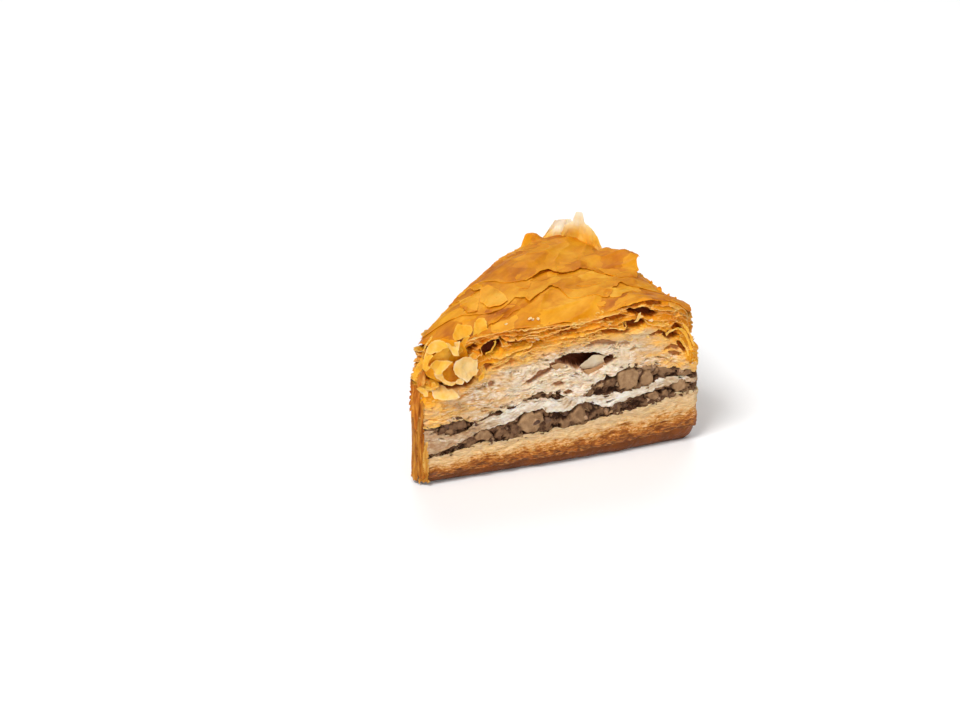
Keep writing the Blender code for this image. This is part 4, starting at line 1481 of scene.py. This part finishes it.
def scrap_border(x, y, across, along, turn, seed, lip):
    """The angular border of a small torn scrap that lies on the top."""
    draw = random.Random(seed)
    border = []
    corners = draw.randint(5, 8)
    for step in range(corners):
        angle = math.tau * (step + draw.uniform(-0.3, 0.3)) / corners
        grow = draw.uniform(0.6, 1.2)
        dx, dy = across * math.cos(angle) * grow, along * math.sin(angle) * grow
        border.append((x + dx * math.cos(turn) - dy * math.sin(turn),
                       y + dx * math.sin(turn) + dy * math.cos(turn),
                       lip * max(0.0, draw.uniform(-1.0, 1.0))))
    return border


# The way in which a loose flake stands off the front cut, how far off and how far left it may stand.
TOWARDS_FRONT = Vector((-0.404, -1.0, 0.458))
FLAKE_STAND = 1.45
FLAKE_LIMIT = -31.9 * MM


def torn_line(outline, seed, grow, step=0.2):
    """Points along an outline in millimetres, torn between its corners and grown a little."""
    middle = sum((Vector(corner) for corner in outline), Vector((0, 0))) / len(outline)
    points = []
    for start, end in zip(outline, outline[1:] + outline[:1]):
        start, end = Vector(start), Vector(end)
        count = max(1, round((end - start).length / step))
        for number in range(count):
            spot = start.lerp(end, number / count)
            coarse = noise.noise_vector(Vector((spot.x * 0.9, spot.y * 0.9, seed * 3.3))).xy * 0.12
            fine = noise.noise_vector(Vector((spot.x * 3.1, spot.y * 3.1, seed * 1.9))).xy * 0.09
            points.append(spot + coarse + fine + (spot - middle).normalized() * grow)
    return points


def flake(outline, depth, lean=(0.0, 0.0), fold=0.3, seed=0, tint=0.4, wave=0.3, material=FLAKE, grow=0.08,
          fine=0.3):
    """A thin crumpled flake near the front cut.

    The outline is its (x, z) corners on the plane of the cut, seen from the front left. Depth is how
    far its middle stands before that plane, and lean how much more it stands out along x and z."""
    border = torn_line(outline, seed, grow)
    middle = sum(border, Vector((0, 0))) / len(border)
    size = max((spot - middle).length for spot in border)
    corners = [tuple(spot) for spot in border]
    inner = []
    low_x, high_x = min(x for x, _ in corners), max(x for x, _ in corners)
    low_z, high_z = min(z for _, z in corners), max(z for _, z in corners)
    for column in range(int((high_x - low_x) / fine) + 1):
        for row in range(int((high_z - low_z) / fine) + 1):
            x = low_x + (column + 0.5 * (row % 2)) * fine
            z = low_z + row * fine
            if inside_by(x, z, corners) > fine * 0.4:
                inner.append(Vector((x, z)))
    flat, _, faces, *_ = delaunay_2d_cdt(border + inner, [], [list(range(len(border)))], 1, 1e-5)
    draw = random.Random(seed)
    folds = [(draw.uniform(0, math.tau), draw.uniform(-0.2, 0.2)) for _ in range(5)]
    points, edges = [], []
    for spot in flat:
        away = spot - middle
        raised = max(away.x * math.cos(turn) + away.y * math.sin(turn) + shift * size
                     for turn, shift in folds)
        out = depth + lean[0] * away.x + lean[1] * away.y + fold * (raised - 0.35 * size)
        out += wave * waves(spot.x / 1.5, spot.y / 1.5, seed * 3.1)
        out += 0.5 * wave * (0.5 - abs(waves(spot.x / 0.9, spot.y / 0.9, seed * 1.7)) * 2)
        place = Vector((spot.x * MM, LEFT.y - 1.0 * MM, spot.y * MM))
        place += TOWARDS_FRONT * min(out, FLAKE_STAND) * MM
        place.x = max(place.x, FLAKE_LIMIT)
        points.append(place)
        edges.append(math.exp(-abs(inside_by(spot.x, spot.y, corners)) / 0.12))
    return leaf_sheet("flake", points, faces, [tint] * len(points), edges, material, 0.09)


def standing_leaf(foot, profile, lean, seed, tint, pale_from, rows=22, steps=90, curl=0.6):
    """A leaf that stands on the top. foot is its line in plan and profile its (share, height) edge."""
    start, end = Vector(foot[0]), Vector(foot[1])
    across = (end - start).normalized()
    behind = Vector((-across.y, across.x))
    points, edges, heights = [], [], []
    for row in range(rows + 1):
        up = row / rows
        for step in range(steps + 1):
            share = step / steps
            plan = start.lerp(end, share)
            tall = between(profile, share) + 0.25 * waves(share * 22, seed, 0)
            bottom = crust_height(plan * MM) / MM - 1.2
            z = bottom + (max(tall - bottom, 0.1)) * up
            bow = math.sin(share * math.pi) * curl + 0.5 * waves(share * 5, up * 2, seed)
            bow += lean * up ** 1.5 + 0.12 * waves(share * 16, up * 5, seed)
            spot = plan + behind * bow + across * 0.3 * waves(share * 4, up * 3, seed + 5)
            points.append(Vector((spot.x, spot.y, z)) * MM)
            edges.append(0.0)
            heights.append(clamp((z - pale_from) / 3))
    tints = [tint - 0.55 * up for up in heights]
    return leaf_sheet("standing", points, sheet_faces(rows, steps), tints, edges, FLAKE)


def corner_wrap(start, end, foot, head, gap, seed, tint, steps=60, rows=110):
    """A leaf that hangs down over the left corner, between two places on the rim in millimetres."""
    count = len(rim_points)
    corner = min(range(count), key=lambda i: (rim_points[i] - LEFT).length)
    points, edges = [], []
    for row in range(rows + 1):
        up = row / rows
        for step in range(steps + 1):
            share = step / steps
            rag = (0.5 * waves(up * 14, seed, 3)
                   + 0.25 * waves(up * 45, seed, 5))
            along = start + (end - start) * share + rag * (2 * share - 1) * 0.8
            index = (corner + round(along * MM / RIM_STEP)) % count
            place, out = rim_points[index], rim_out[index]
            low = foot + 0.9 * waves(share * 9, seed, 1) + 0.5 * noise.noise(
                Vector((share * 30, seed, 8)))
            high = head + 1.2 * waves(share * 7, seed, 4) + 0.6 * noise.noise(
                Vector((share * 26, seed, 6)))
            z = low + (high - low) * up
            pleat = waves(along / 1.1, z / 9, seed) * 0.42
            pleat += waves(along / 0.5, z / 4, seed + 2) * 0.14
            away = gap + abs(pleat) + 0.5 * math.exp(-(z - low) / 1.2) * waves(along, seed, 2)
            spot = place + out * (away - corner_trim(place, z)) * MM
            points.append((max(spot.x, FLAKE_LIMIT), spot.y, z * MM))
            edges.append(max(0.0, abs(2 * share - 1) - 0.85) / 0.15)
    return leaf_sheet("wrap", points, sheet_faces(rows, steps), [tint] * len(points), edges, HANGING)


# ---------------------------------------------------------------- building the piece

TOP_MARKS = ("toast", "edge", "ridge", "hollow", "warmth")
CRUMB_MARKS = ("pale", "crevice")
TOP_LAYER = ("upper_nuts_top", "crust")
FREE_LIPS = 60
TOP_SCRAPS = 34

underside("syrup_crust", "pastry_base")
wall("base_leaves", "pastry_base", BASE_LEAF, 44, height_span("floor", "base_top", 0.3, 1.03), base_relief,
     ("share", "ridge", "edge", "hollow"))
wall("lower_crumb", "walnut_lower", CRUMB, 30, height_span("base_top", "lower_nuts_top", -0.1, 1.1),
     crumb_relief, CRUMB_MARKS)
nut_pieces("lower_nuts", "walnut_lower",
           nut_spots("base_top", "lower_nuts_top", 110, (2.4, 1.9, 1.5), 5), 3, 0.25, 8)
wall("band_leaves", "pastry_middle", BAND_LEAF, 26, height_span("lower_nuts_top", "middle_top", 0.0, 1.0),
     band_relief, ("ridge", "hollow", "wet"))
wall("upper_crumb", "walnut_upper", CRUMB, 34, height_span("middle_top", "upper_nuts_top", -0.1, 1.1),
     crumb_relief, CRUMB_MARKS)
nut_pieces("upper_nuts", "walnut_upper",
           nut_spots("middle_top", "upper_nuts_top", 90, (2.2, 1.7), 6), 3, 0.25, 9)
wall("white_leaves", "pastry_top", LEAF, 64, height_span(*TOP_LAYER, -0.02, 0.5), top_relief, TOP_MARKS)
wall("golden_leaves", "pastry_top", LEAF, 64, height_span(*TOP_LAYER, 0.5, 0.995), top_relief, TOP_MARKS)

draw = random.Random(77)
lip_leaves = [lip_leaf(draw.randrange(len(rim_points)), draw.randint(30, 120), draw.randrange(LIP_COUNT),
                       draw.uniform(0.15, 0.6), draw.uniform(-0.3, 0.5), number)
              for number in range(FREE_LIPS)]
shown(joined("free_lips", lip_leaves), "pastry_top")
core("top_core", *TOP_LAYER, "pastry_top", SHADED, 4.6 * MM, 0.5 * MM)
scraps("cream_scraps", *TOP_LAYER, "pastry_top", LEAF, 1000, (0.0, 0.66), (0.35, 1.2), 31)
scraps("golden_scraps", *TOP_LAYER, "pastry_top", LEAF, 220, (0.6, 0.95), (0.6, 1.6), 32, tilt=0.7)

# Borders of the large top leaves, as crust_sheet takes them; beyond the sides they are cut off.
WHOLE = ((-60, -50, 0), (60, -50, 0), (60, 60, 0), (-60, 60, 0))
WIDE_BORDER = (
    (-24, -18, 0.3), (-20.5, -17.2, 0.1), (-16.7, -17.6, 0.3), (-13.7, -18.2, 0.6), (-10.3, -18, 0.2),
    (-7.9, -16.3, 0.2), (-5.8, -14.3, 0.3), (-4.1, -17.6, 0.9), (-0.3, -14.7, 1.0), (2.4, -11.9, 1.2),
    (4, -12.8, 0.9), (4.3, -17.5, 0.3), (7.9, -18.4, 0.1), (11.7, -19.6, 0.6), (14.7, -15.4, 0.8),
    (17.6, -12.5, 1.0), (19.5, -13, 0.2), (24, -12.6, 0.3), (40, -14, 0.1), (60, 60, 0), (-60, 60, 0),
    (-60, -20, 0)
)
BACK_BORDER = (
    (-14, -3.5, 0.1), (-9.8, -3.7, 0.5), (-7.5, -4.1, 0.2), (-5.9, -5.5, 0.3), (-3.6, -7.3, 0.4),
    (0, -6.9, 0.9), (3.8, -3.6, 1.3), (6.2, -2.4, 1.5), (7.2, -4.2, 1.2), (9.7, -4, 1.3), (14.4, -2.6, 0.9),
    (17.2, -4.3, 0.2), (18.1, -5.4, 0.9), (17.3, -9, 0.4), (20.6, -7.8, 0.2), (23.6, -7.0, 0.1),
    (24.8, -4.5, 0.4), (26.2, -1.5, 0.7), (28.2, 2.6, 0.6), (29.2, 6, 0.4), (27, 10, 0.2), (60, 60, 0),
    (-60, 60, 0), (-60, -2, 0)
)
BACK_SWELLS = ((27.5, 3.5, 5.5, 3.4), (28.5, 1.5, 2.5, 0.7), (10.8, 18.6, 2.3, 2.5), (4, -3, 3, 0.4))
shown(crust_sheet("crust_bed", WHOLE, (8, -4), 0.0, 1, tint=0.62, rings=52, spokes=470), "pastry_top")
shown(crust_sheet("crust_leaf_wide", WIDE_BORDER, (8, 2), 0.09, 2, tint=0.42), "pastry_top")
shown(crust_sheet("crust_leaf_back", BACK_BORDER, (14, 8), 0.18, 3, tint=0.55, overhang=0.3,
                  swells=BACK_SWELLS), "pastry_top")
top_scraps = [
    crust_sheet("left_patch", (
        (-11.9, -10.7, 0.2), (-10.6, -8.2, 0.4), (-8.6, -7.4, 0.2), (-7.4, -9.5, 0.1), (-7.2, -12.9, 0.1),
        (-7.8, -15.3, 0.5), (-9.9, -16.9, 0.5), (-12.1, -16.3, 0.2), (-12.9, -13.6, 0.1)),
        (-10, -12.5), 0.26, 4, 120, 14, tint=0.3, ragged=0.2),
    crust_sheet("left_lens", (
        (-10.9, -4.4, 0.6), (-10.0, -4.6, 0.4), (-9.6, -6.4, 0.3), (-10.3, -8.4, 0.3), (-11.8, -8.0, 0.5),
        (-11.8, -6.0, 0.7)), (-10.8, -6.3), 0.3, 5, 80, 10, tint=0.35, ragged=0.2),
    crust_sheet("left_strip", (
        (-17.1, -13.5, 0.3), (-15.6, -9.6, 0.3), (-13.3, -9.6, 0.1), (-12.6, -12.3, 0.1), (-14.9, -17.2, 0.4),
        (-17.0, -17.0, 0.3)), (-14.8, -13), 0.22, 6, 100, 12, tint=0.25, ragged=0.25),
]
draw = random.Random(12)
for number in range(TOP_SCRAPS):
    share = draw.random()
    place = rim_points[draw.randrange(len(rim_points))].lerp(CENTRE, 0.05 + 0.9 * share * share) / MM
    long = draw.uniform(1.5, 6.0)
    border = scrap_border(place.x, place.y, long, long * draw.uniform(0.3, 0.6), draw.gauss(0.6, 0.4),
                          number, draw.uniform(0.0, 0.35))
    top_scraps.append(crust_sheet("scrap", border, place, draw.choice((0.02, 0.1, 0.2)), 20 + number,
                                  72, 9, ragged=0.8, tint=draw.uniform(0.15, 0.9)))
shown(joined("crust_scraps", top_scraps), "pastry_top")

apex_leaves = [
    standing_leaf(((14.2, 21.4), (22.5, 18.4)), (
        (0, 27.8), (0.12, 29.0), (0.38, 32.4), (0.75, 32.7), (0.9, 30), (1, 28.0)), 0.5, 1.0, 0.14, 28.8),
    standing_leaf(((18.0, 19.9), (26.0, 15.4)), (
        (0, 28.0), (0.14, 31.6), (0.3, 32.4), (0.38, 34.6), (0.52, 34.4), (0.56, 32.3), (0.72, 31.2),
        (0.87, 29.4), (1, 26.4)), 0.3, 2.0, 0.26, 29.6),
]
shown(joined("apex_flap", apex_leaves), "pastry_top")


def torn_tip(x, y, height, long, seed):
    """A small torn tip that stands up on the right rim of the top."""
    top = crust_height(Vector((x, y)) * MM) / MM
    return standing_leaf(((x, y - long / 2), (x - 0.3, y + long / 2)),
                         ((0, top - 0.2), (0.35, top + height), (0.6, top + height * 0.5), (1, top - 0.3)),
                         -0.4, seed, 0.55, 40.0, rows=8, steps=24, curl=0.1)


# The tips' x, y, height, length and seed.
RIM_TIPS = ((28.2, -19.5, 0.5, 1.6, 21.0), (27.8, -15.5, 0.7, 2.0, 22.0), (28.0, -12.0, 0.6, 1.4, 23.0),
            (27.5, -8.6, 0.9, 2.2, 24.0), (27.6, -4.5, 0.9, 1.8, 25.0), (27.2, -1.0, 0.6, 2.4, 26.0))
shown(joined("rim_tips", [torn_tip(*tip) for tip in RIM_TIPS]), "pastry_top")

# Loose flakes at the pointed end: (depth, lean along x and z, fold, tint, outline), depths in millimetres.
CORNER_FLAKES = {
    "backing": (-0.5, (0.1, 0.1), -0.1, 0.66, ((-29.2, 24.5), (-28.9, 28.7), (-27.6, 30.6), (-25.5, 30.9),
        (-23.1, 30.1), (-21.4, 29.3), (-20.6, 27.8), (-20.3, 26.3), (-18.8, 25.5), (-18.5, 23.5),
        (-20.1, 21.5), (-23.2, 21), (-26.9, 22.5))),
    "top_lobe": (0.8, (0.1, -0.25), 0.3, 0.24, ((-28.8, 28.7), (-28.5, 29.6), (-27.8, 30.3), (-26.9, 30.7),
        (-25.9, 30.6), (-25.1, 30.2), (-24.5, 29.5), (-24.3, 28.9), (-25.3, 28.8), (-26, 28.2),
        (-26.9, 28.3), (-27.9, 28.1))),
    "left_rim": (0.9, (0.3, 0.0), 0.25, 0.34, ((-29.4, 25.4), (-29.3, 26.8), (-29.1, 28), (-28.8, 28.7),
        (-27.9, 28.1), (-27.4, 27.6), (-28.2, 26.8), (-28.5, 25.7), (-28, 25.4), (-28.4, 24.9),
        (-28.8, 24.6), (-29.3, 25.1))),
    "amber_bowl": (0.1, (-0.1, 0.3), -0.3, 0.44, ((-28.5, 25.5), (-28.4, 26.7), (-27.4, 27.6), (-26, 28.4),
        (-24.3, 29.1), (-23.3, 28.2), (-23.2, 27.1), (-22, 26.8), (-22.5, 25.9), (-23.3, 25.4),
        (-25.3, 25.7), (-26.9, 25.9), (-28, 25.4))),
    "front_facet": (1.0, (0.1, -0.15), 0.35, 0.28, ((-28, 25.4), (-27.6, 26), (-26.9, 26.6), (-25.3, 26.3),
        (-23.3, 25.8), (-24.2, 25.1), (-25.1, 24.3), (-25.4, 24.2), (-25.5, 23.6), (-26.5, 23.6),
        (-27.1, 23.9), (-27.4, 24.8))),
    "pleat": (0.7, (0.25, -0.1), 0.4, 0.2, ((-24.7, 29.8), (-23.6, 29.6), (-21.8, 29.7), (-22, 28.7),
        (-22.3, 27.7), (-22, 26.8), (-22.7, 26.9), (-23.2, 27.1), (-23.6, 28.2), (-24.2, 28.9))),
    "amber_wedge": (0.2, (0.0, 0.3), -0.3, 0.74, ((-23.3, 25.5), (-23.1, 24.6), (-22.8, 23.2), (-21.9, 22.3),
        (-22.3, 21.8), (-22.7, 21.4), (-23.6, 21.4), (-24.7, 22), (-25.4, 22.8), (-25.4, 24.2),
        (-24.8, 24.6))),
    "pale_shard": (1.1, (-0.15, -0.1), 0.25, 0.06, ((-23.1, 24.9), (-22.6, 25.7), (-21.4, 26.2),
        (-20.8, 26.3), (-19.7, 26.1), (-19.2, 25.4), (-18.3, 25.3), (-18.4, 23.6), (-18.1, 23.3),
        (-18.6, 22.4), (-19.3, 22.2), (-19.8, 21.6), (-20.5, 21.1), (-20.8, 21.4), (-21.4, 22), (-22, 22.4),
        (-22.8, 23.2), (-23, 24))),
    "lower_rim": (1.1, (0.1, -0.3), 0.3, 0.22, ((-27.1, 24), (-26.5, 23.6), (-25.5, 23.5), (-25.1, 22.5),
        (-24.4, 21.9), (-23.6, 21.5), (-22.7, 21.5), (-23.1, 21.1), (-23.6, 20.8), (-24.7, 21.3),
        (-25.5, 22.1), (-26.5, 22.8), (-27, 23.5))),
    "knob": (1.3, (0.0, -0.2), 0.4, 0.12, ((-22.6, 21.5), (-22.3, 21.8), (-21.7, 22), (-21.2, 21.6),
        (-21.1, 21.2), (-21.5, 20.8), (-22, 20.9), (-22.6, 21.2))),
    "shaded_rim": (0.4, (0.3, 0.3), -0.3, 0.66, ((-28.5, 25), (-28, 25.4), (-27.4, 24.8), (-27.1, 23.9),
        (-27, 23.5), (-26.5, 22.8), (-25.9, 22.2), (-26.9, 22.6), (-28.2, 23.5), (-28.7, 23.9),
        (-28.8, 24.4))),
    "outer_curl": (-1.1, (0.3, 0.0), 0.3, 0.42, ((-27.6, 31.8), (-28.4, 30.9), (-29.1, 30), (-29.5, 28.7),
        (-29.7, 27.5), (-30.6, 26.3), (-31.2, 25.4), (-31.5, 24.4), (-31.4, 23.5), (-31, 23), (-30.9, 23.7),
        (-30.4, 24.4), (-29.8, 25.2), (-29.4, 25.7), (-29.4, 26.6), (-29.5, 27.5), (-29.3, 28.7),
        (-28.7, 29.9), (-28, 30.8), (-27.4, 31.6))),
    "outer_strip": (-0.8, (-0.2, 0.0), 0.3, 0.5, ((-30.6, 22.8), (-30.3, 23.7), (-29.6, 24.6), (-29.3, 24.8),
        (-29.1, 24), (-29.1, 22.5), (-29.5, 21.8), (-30.4, 21.8), (-30.8, 22.1))),
    "spiked_leaf": (-1.5, (-0.35, 0.0), 0.15, 0.66, ((-30.5, 21.7), (-31.6, 22.4), (-32.2, 22.0),
        (-31.8, 21.2), (-32.4, 21.0), (-31.9, 20.2), (-32.6, 19.6), (-32.0, 19.2), (-32.7, 18.3),
        (-32.0, 18.2), (-32.4, 17.0), (-31.8, 17.1), (-32.0, 15.8), (-31.5, 15.6), (-31.3, 13.0),
        (-30.8, 12.8), (-30.5, 17.0), (-30.2, 19.6))),
    "ring_strand": (-0.7, (0.1, 0.0), 0.3, 0.35, ((-30.7, 21.4), (-30.1, 21.6), (-29.3, 21.1), (-28.7, 20.4),
        (-28.5, 19.5), (-29.1, 19.4), (-29.6, 20.2), (-30.2, 20.8))),
    "low_pale": (0.3, (0.0, -0.35), 0.4, 0.1, ((-27.7, 20.5), (-27.4, 21.9), (-26.9, 22), (-26, 21.4),
        (-25.4, 21.1), (-24.3, 20), (-23.6, 20.2), (-22.8, 19.3), (-21.9, 18.2), (-23.1, 17.9),
        (-25.4, 18.1), (-27, 18.8), (-27.5, 19.6))),
    "low_strip": (-0.7, (0.2, 0.1), 0.3, 0.42, ((-27.7, 22.1), (-27.1, 22), (-26.8, 21.3), (-27, 19.9),
        (-27.4, 18.6), (-27.9, 18.4), (-28, 19.7), (-27.7, 20.9))),
    "rim_leaf": (-1.9, (0.0, -0.9), 0.2, 0.38, ((-23.3, 31.4), (-22.7, 32.9), (-22.3, 33.4), (-21.5, 33),
        (-19.6, 32.6), (-19.3, 31.6), (-19.7, 30.9), (-20.8, 30.6), (-21.7, 30.2), (-22.7, 30),
        (-23.2, 30.6))),
    "rim_leaf_right": (-2.3, (0.1, -0.9), 0.2, 0.42, ((-19.2, 30.5), (-19, 31.7), (-18.8, 33.2),
        (-17.9, 33.9), (-16.8, 33.6), (-16.4, 33), (-16.4, 31.8), (-16.1, 30.9), (-16.1, 30.5),
        (-17.3, 30.3), (-18.6, 29.9), (-19, 30))),
    "amber_strip": (0.1, (0.3, 0.1), 0.3, 0.5, ((-22.1, 27.6), (-21.7, 29.2), (-21.2, 30.1), (-20.1, 30.6),
        (-19.8, 30.5), (-20.5, 29.5), (-21, 28.5), (-21.4, 27.6), (-21.9, 27.3))),
    "spike": (0.3, (0.1, 0.0), 0.3, 0.3, ((-19.8, 26.4), (-19.6, 26.6), (-19.3, 27), (-18.6, 26.7),
        (-18.3, 25.7), (-18.2, 25.3), (-19.2, 25.4))),
    "corner_tongue": (0.2, (0.0, 0.2), 0.3, 0.45, ((-17.9, 21.8), (-17.3, 22.2), (-17, 23), (-16.8, 22.2),
        (-17.1, 21.5), (-17.6, 21), (-17.9, 20.8))),
}
HANGING_FLAKES = ("spiked_leaf", "outer_strip")
corner_flakes = []
for number, (name, (depth, lean, fold, tint, outline)) in enumerate(CORNER_FLAKES.items()):
    look = HANGING if name in HANGING_FLAKES else FLAKE
    corner_flakes.append(flake(outline, depth, lean, fold, number, tint, material=look))
shown(joined("corner_flakes", corner_flakes), "pastry_top")

# Leaves that show in the openings: depth, lean, tint, wave, look, growth and outline, as flake takes them.
OPENING_LEAVES = (
    (-1.4, (0.1, 0.2), 0.15, 0.15, FILM, 0.08, ((2.5, 20.2), (4.6, 21.5), (6.1, 22.5), (7.6, 22.3),
     (8.6, 21.9), (8.1, 21.4), (8.3, 20.7), (7.5, 20.1), (6.5, 19.9), (4.4, 20), (3.2, 20.2))),
    (-0.9, (0.0, 0.1), 0.7, 0.15, FILM, 0.08, ((4.1, 19.6), (5.2, 19.7), (6.7, 19.8), (8.3, 20.7), (9, 20.1),
     (8.4, 19.5), (7.1, 19), (5.4, 18.4), (4.8, 18.8))),
    (-0.8, (0.0, 0.1), 0.6, 0.15, FILM, 0.08, ((-2.8, 21.7), (-1.3, 22), (0.1, 21.5), (-0.1, 20.8),
     (-1.1, 20.5), (-2.2, 20.9))),
    (-0.6, (0.0, 0.0), 0.5, 0.1, FLAKE, -0.14, ((-15, 28.8), (-14.7, 28.7), (-14.8, 28), (-15.2, 27.3),
     (-15.7, 26.7), (-16.6, 26.5), (-16.8, 26.2), (-15.5, 26.3), (-14.8, 27.1), (-14.4, 28), (-14.4, 29))),
    (-0.2, (0.2, 0.0), 0.2, 0.1, FLAKE, 0.0, ((14.6, 28.1), (15.1, 28.6), (15.6, 29.7), (16.1, 30),
     (16, 29.4), (16.6, 29), (15.8, 28.7), (15.3, 28.2))),
)
hollow_leaves = [
    flake(outline, depth, lean, 0.1, 41 + number, tint, wave=wave, material=look, grow=grow)
    for number, (depth, lean, tint, wave, look, grow, outline) in enumerate(OPENING_LEAVES)]

# Whitish crumbs on the top and the cut: x, z and size, in millimetres.
CRUMBS = (
    (-12.2, 31.9, 0.5), (-11.6, 31.5, 0.4), (-12.9, 31.4, 0.35), (-7.4, 32.2, 0.6), (-6.6, 32.0, 0.45),
    (-8.0, 31.7, 0.4), (-5.6, 31.9, 0.5), (-4.9, 31.6, 0.45), (-6.9, 28.1, 0.5), (-6.2, 28.0, 0.45),
    (-5.6, 27.6, 0.5), (-6.6, 27.4, 0.4), (-5.9, 28.6, 0.35), (18.2, 27.9, 0.6), (9.6, 28.3, 0.6)
)
TOP_CRUMBS_FROM = 31
draw = random.Random(4)
for number, (x, z, size) in enumerate(CRUMBS):
    line = [(x + size * draw.uniform(0.4, 1.0) * math.cos(step),
             z + size * draw.uniform(0.3, 0.8) * math.sin(step)) for step in range(6)]
    on_top = z > TOP_CRUMBS_FROM
    hollow_leaves.append(flake(line, -2.4 if on_top else -0.3, (0.0, -0.9 if on_top else 0.2), 0.5,
                               71 + number, 0.02, grow=0.0, fine=0.2))

# Thin leaf edges that bend down at the right end of the cut.
BENT_STRANDS = (
    ((23.9, 25.5), (24.9, 25.3), (25.9, 24.2), (26.7, 22.4), (27.4, 20.3), (27, 20.1), (26.3, 22),
     (25.4, 23.8), (24.6, 24.8)),
    ((25.1, 26.3), (26.3, 25.3), (27.1, 23.4), (27.8, 21.1), (27.5, 20.9), (26.7, 23), (25.9, 24.8),
     (25.1, 25.7)),
    ((24.5, 23.4), (25.2, 22.6), (26.1, 21.1), (26.7, 19.1), (26.4, 19), (25.7, 20.9), (24.9, 22.2),
     (24.2, 23)),
    ((21.2, 24.6), (22.1, 25.2), (23.3, 25.5), (24.3, 25.5), (24.4, 25.3), (23.3, 25.1), (22.2, 24.7),
     (21.5, 24.1)),
)
for number, line in enumerate(BENT_STRANDS):
    hollow_leaves.append(flake(line, 0.1, (0.1, 0.1), 0.25, 51 + number, 0.4, grow=-0.1))
shown(joined("hollow_leaves", hollow_leaves), "pastry_top")

# Leaves that hang over the left corner: start, end, foot, head, gap, seed and tint.
CORNER_WRAPS = ((-5.2, -1.8, 2.0, 20.6, 0.2, 3.0, 0.6), (-3.4, 0.3, 0.8, 15.5, 0.35, 5.0, 0.6),
                (-1.4, 1.5, 1.6, 17.5, 0.2, 8.0, 0.8), (-2.6, -0.8, 6.0, 21.2, 0.35, 9.0, 0.55),
                (0.6, 2.3, 0.9, 9.0, 0.1, 11.0, 0.2))
shown(joined("corner_wraps", [corner_wrap(*wrap) for wrap in CORNER_WRAPS]), "pastry_top")


# ---------------------------------------------------------------- floor, light and camera

# The lamps: place, width in metres and power in watts.
LAMPS = (("softbox", (-1.1, -0.7, 1.8), 1.0, 44.0), ("front_panel", (0.5, -2.0, 0.9), 1.2, 17.0),
         ("back_panel", (0.7, 1.6, 1.7), 1.4, 18.0))
LAMP_AIM = Vector((0, 0, 0.015))
FLOOR_GREY = 0.94
SKY_STRENGTH = 0.2


def studio():
    mesh = mesh_of("floor", [(-2, -2, 0), (2, -2, 0), (2, 2, 0), (-2, 2, 0)], [(0, 1, 2, 3)])
    floor = new_object("floor", mesh)
    white = finish("pale_floor", lambda bench: {}, 0.6)
    shader = white.node_tree.nodes["Principled BSDF"]
    shader.inputs["Base Color"].default_value = (FLOOR_GREY, FLOOR_GREY, FLOOR_GREY, 1)
    mesh.materials.append(white)

    world = bpy.data.worlds.new("studio")
    bpy.context.scene.world = world
    world.use_nodes = True
    sky = world.node_tree.nodes["Background"]
    sky.inputs["Color"].default_value = (1.0, 1.0, 1.0, 1)
    sky.inputs["Strength"].default_value = SKY_STRENGTH

    for name, place, width, power in LAMPS:
        lamp = bpy.data.lights.new(name, "AREA")
        lamp.size = width
        lamp.energy = power
        obj = new_object(name, lamp)
        obj.location = place
        obj.rotation_euler = (LAMP_AIM - Vector(place)).to_track_quat("-Z", "Y").to_euler()


AZIMUTH = math.radians(-22)
ELEVATION = math.radians(23)
DISTANCE = 747.5 * MM
LENS = 138.75
AIM_RIGHT = -6.87 * MM
AIM_UP = 11.41 * MM


def place_camera():
    back = Vector((math.sin(AZIMUTH) * math.cos(ELEVATION), -math.cos(AZIMUTH) * math.cos(ELEVATION),
                   math.sin(ELEVATION)))
    turn = (-back).to_track_quat("-Z", "Y")
    aim = turn @ Vector((AIM_RIGHT, AIM_UP, 0))
    data = bpy.data.cameras.new("camera")
    data.lens = LENS
    data.clip_start = 0.01
    camera = new_object("camera", data)
    camera.location = aim + back * DISTANCE
    camera.rotation_euler = turn.to_euler()
    bpy.context.scene.camera = camera


studio()
place_camera()
bpy.context.scene.view_settings.view_transform = "Standard"
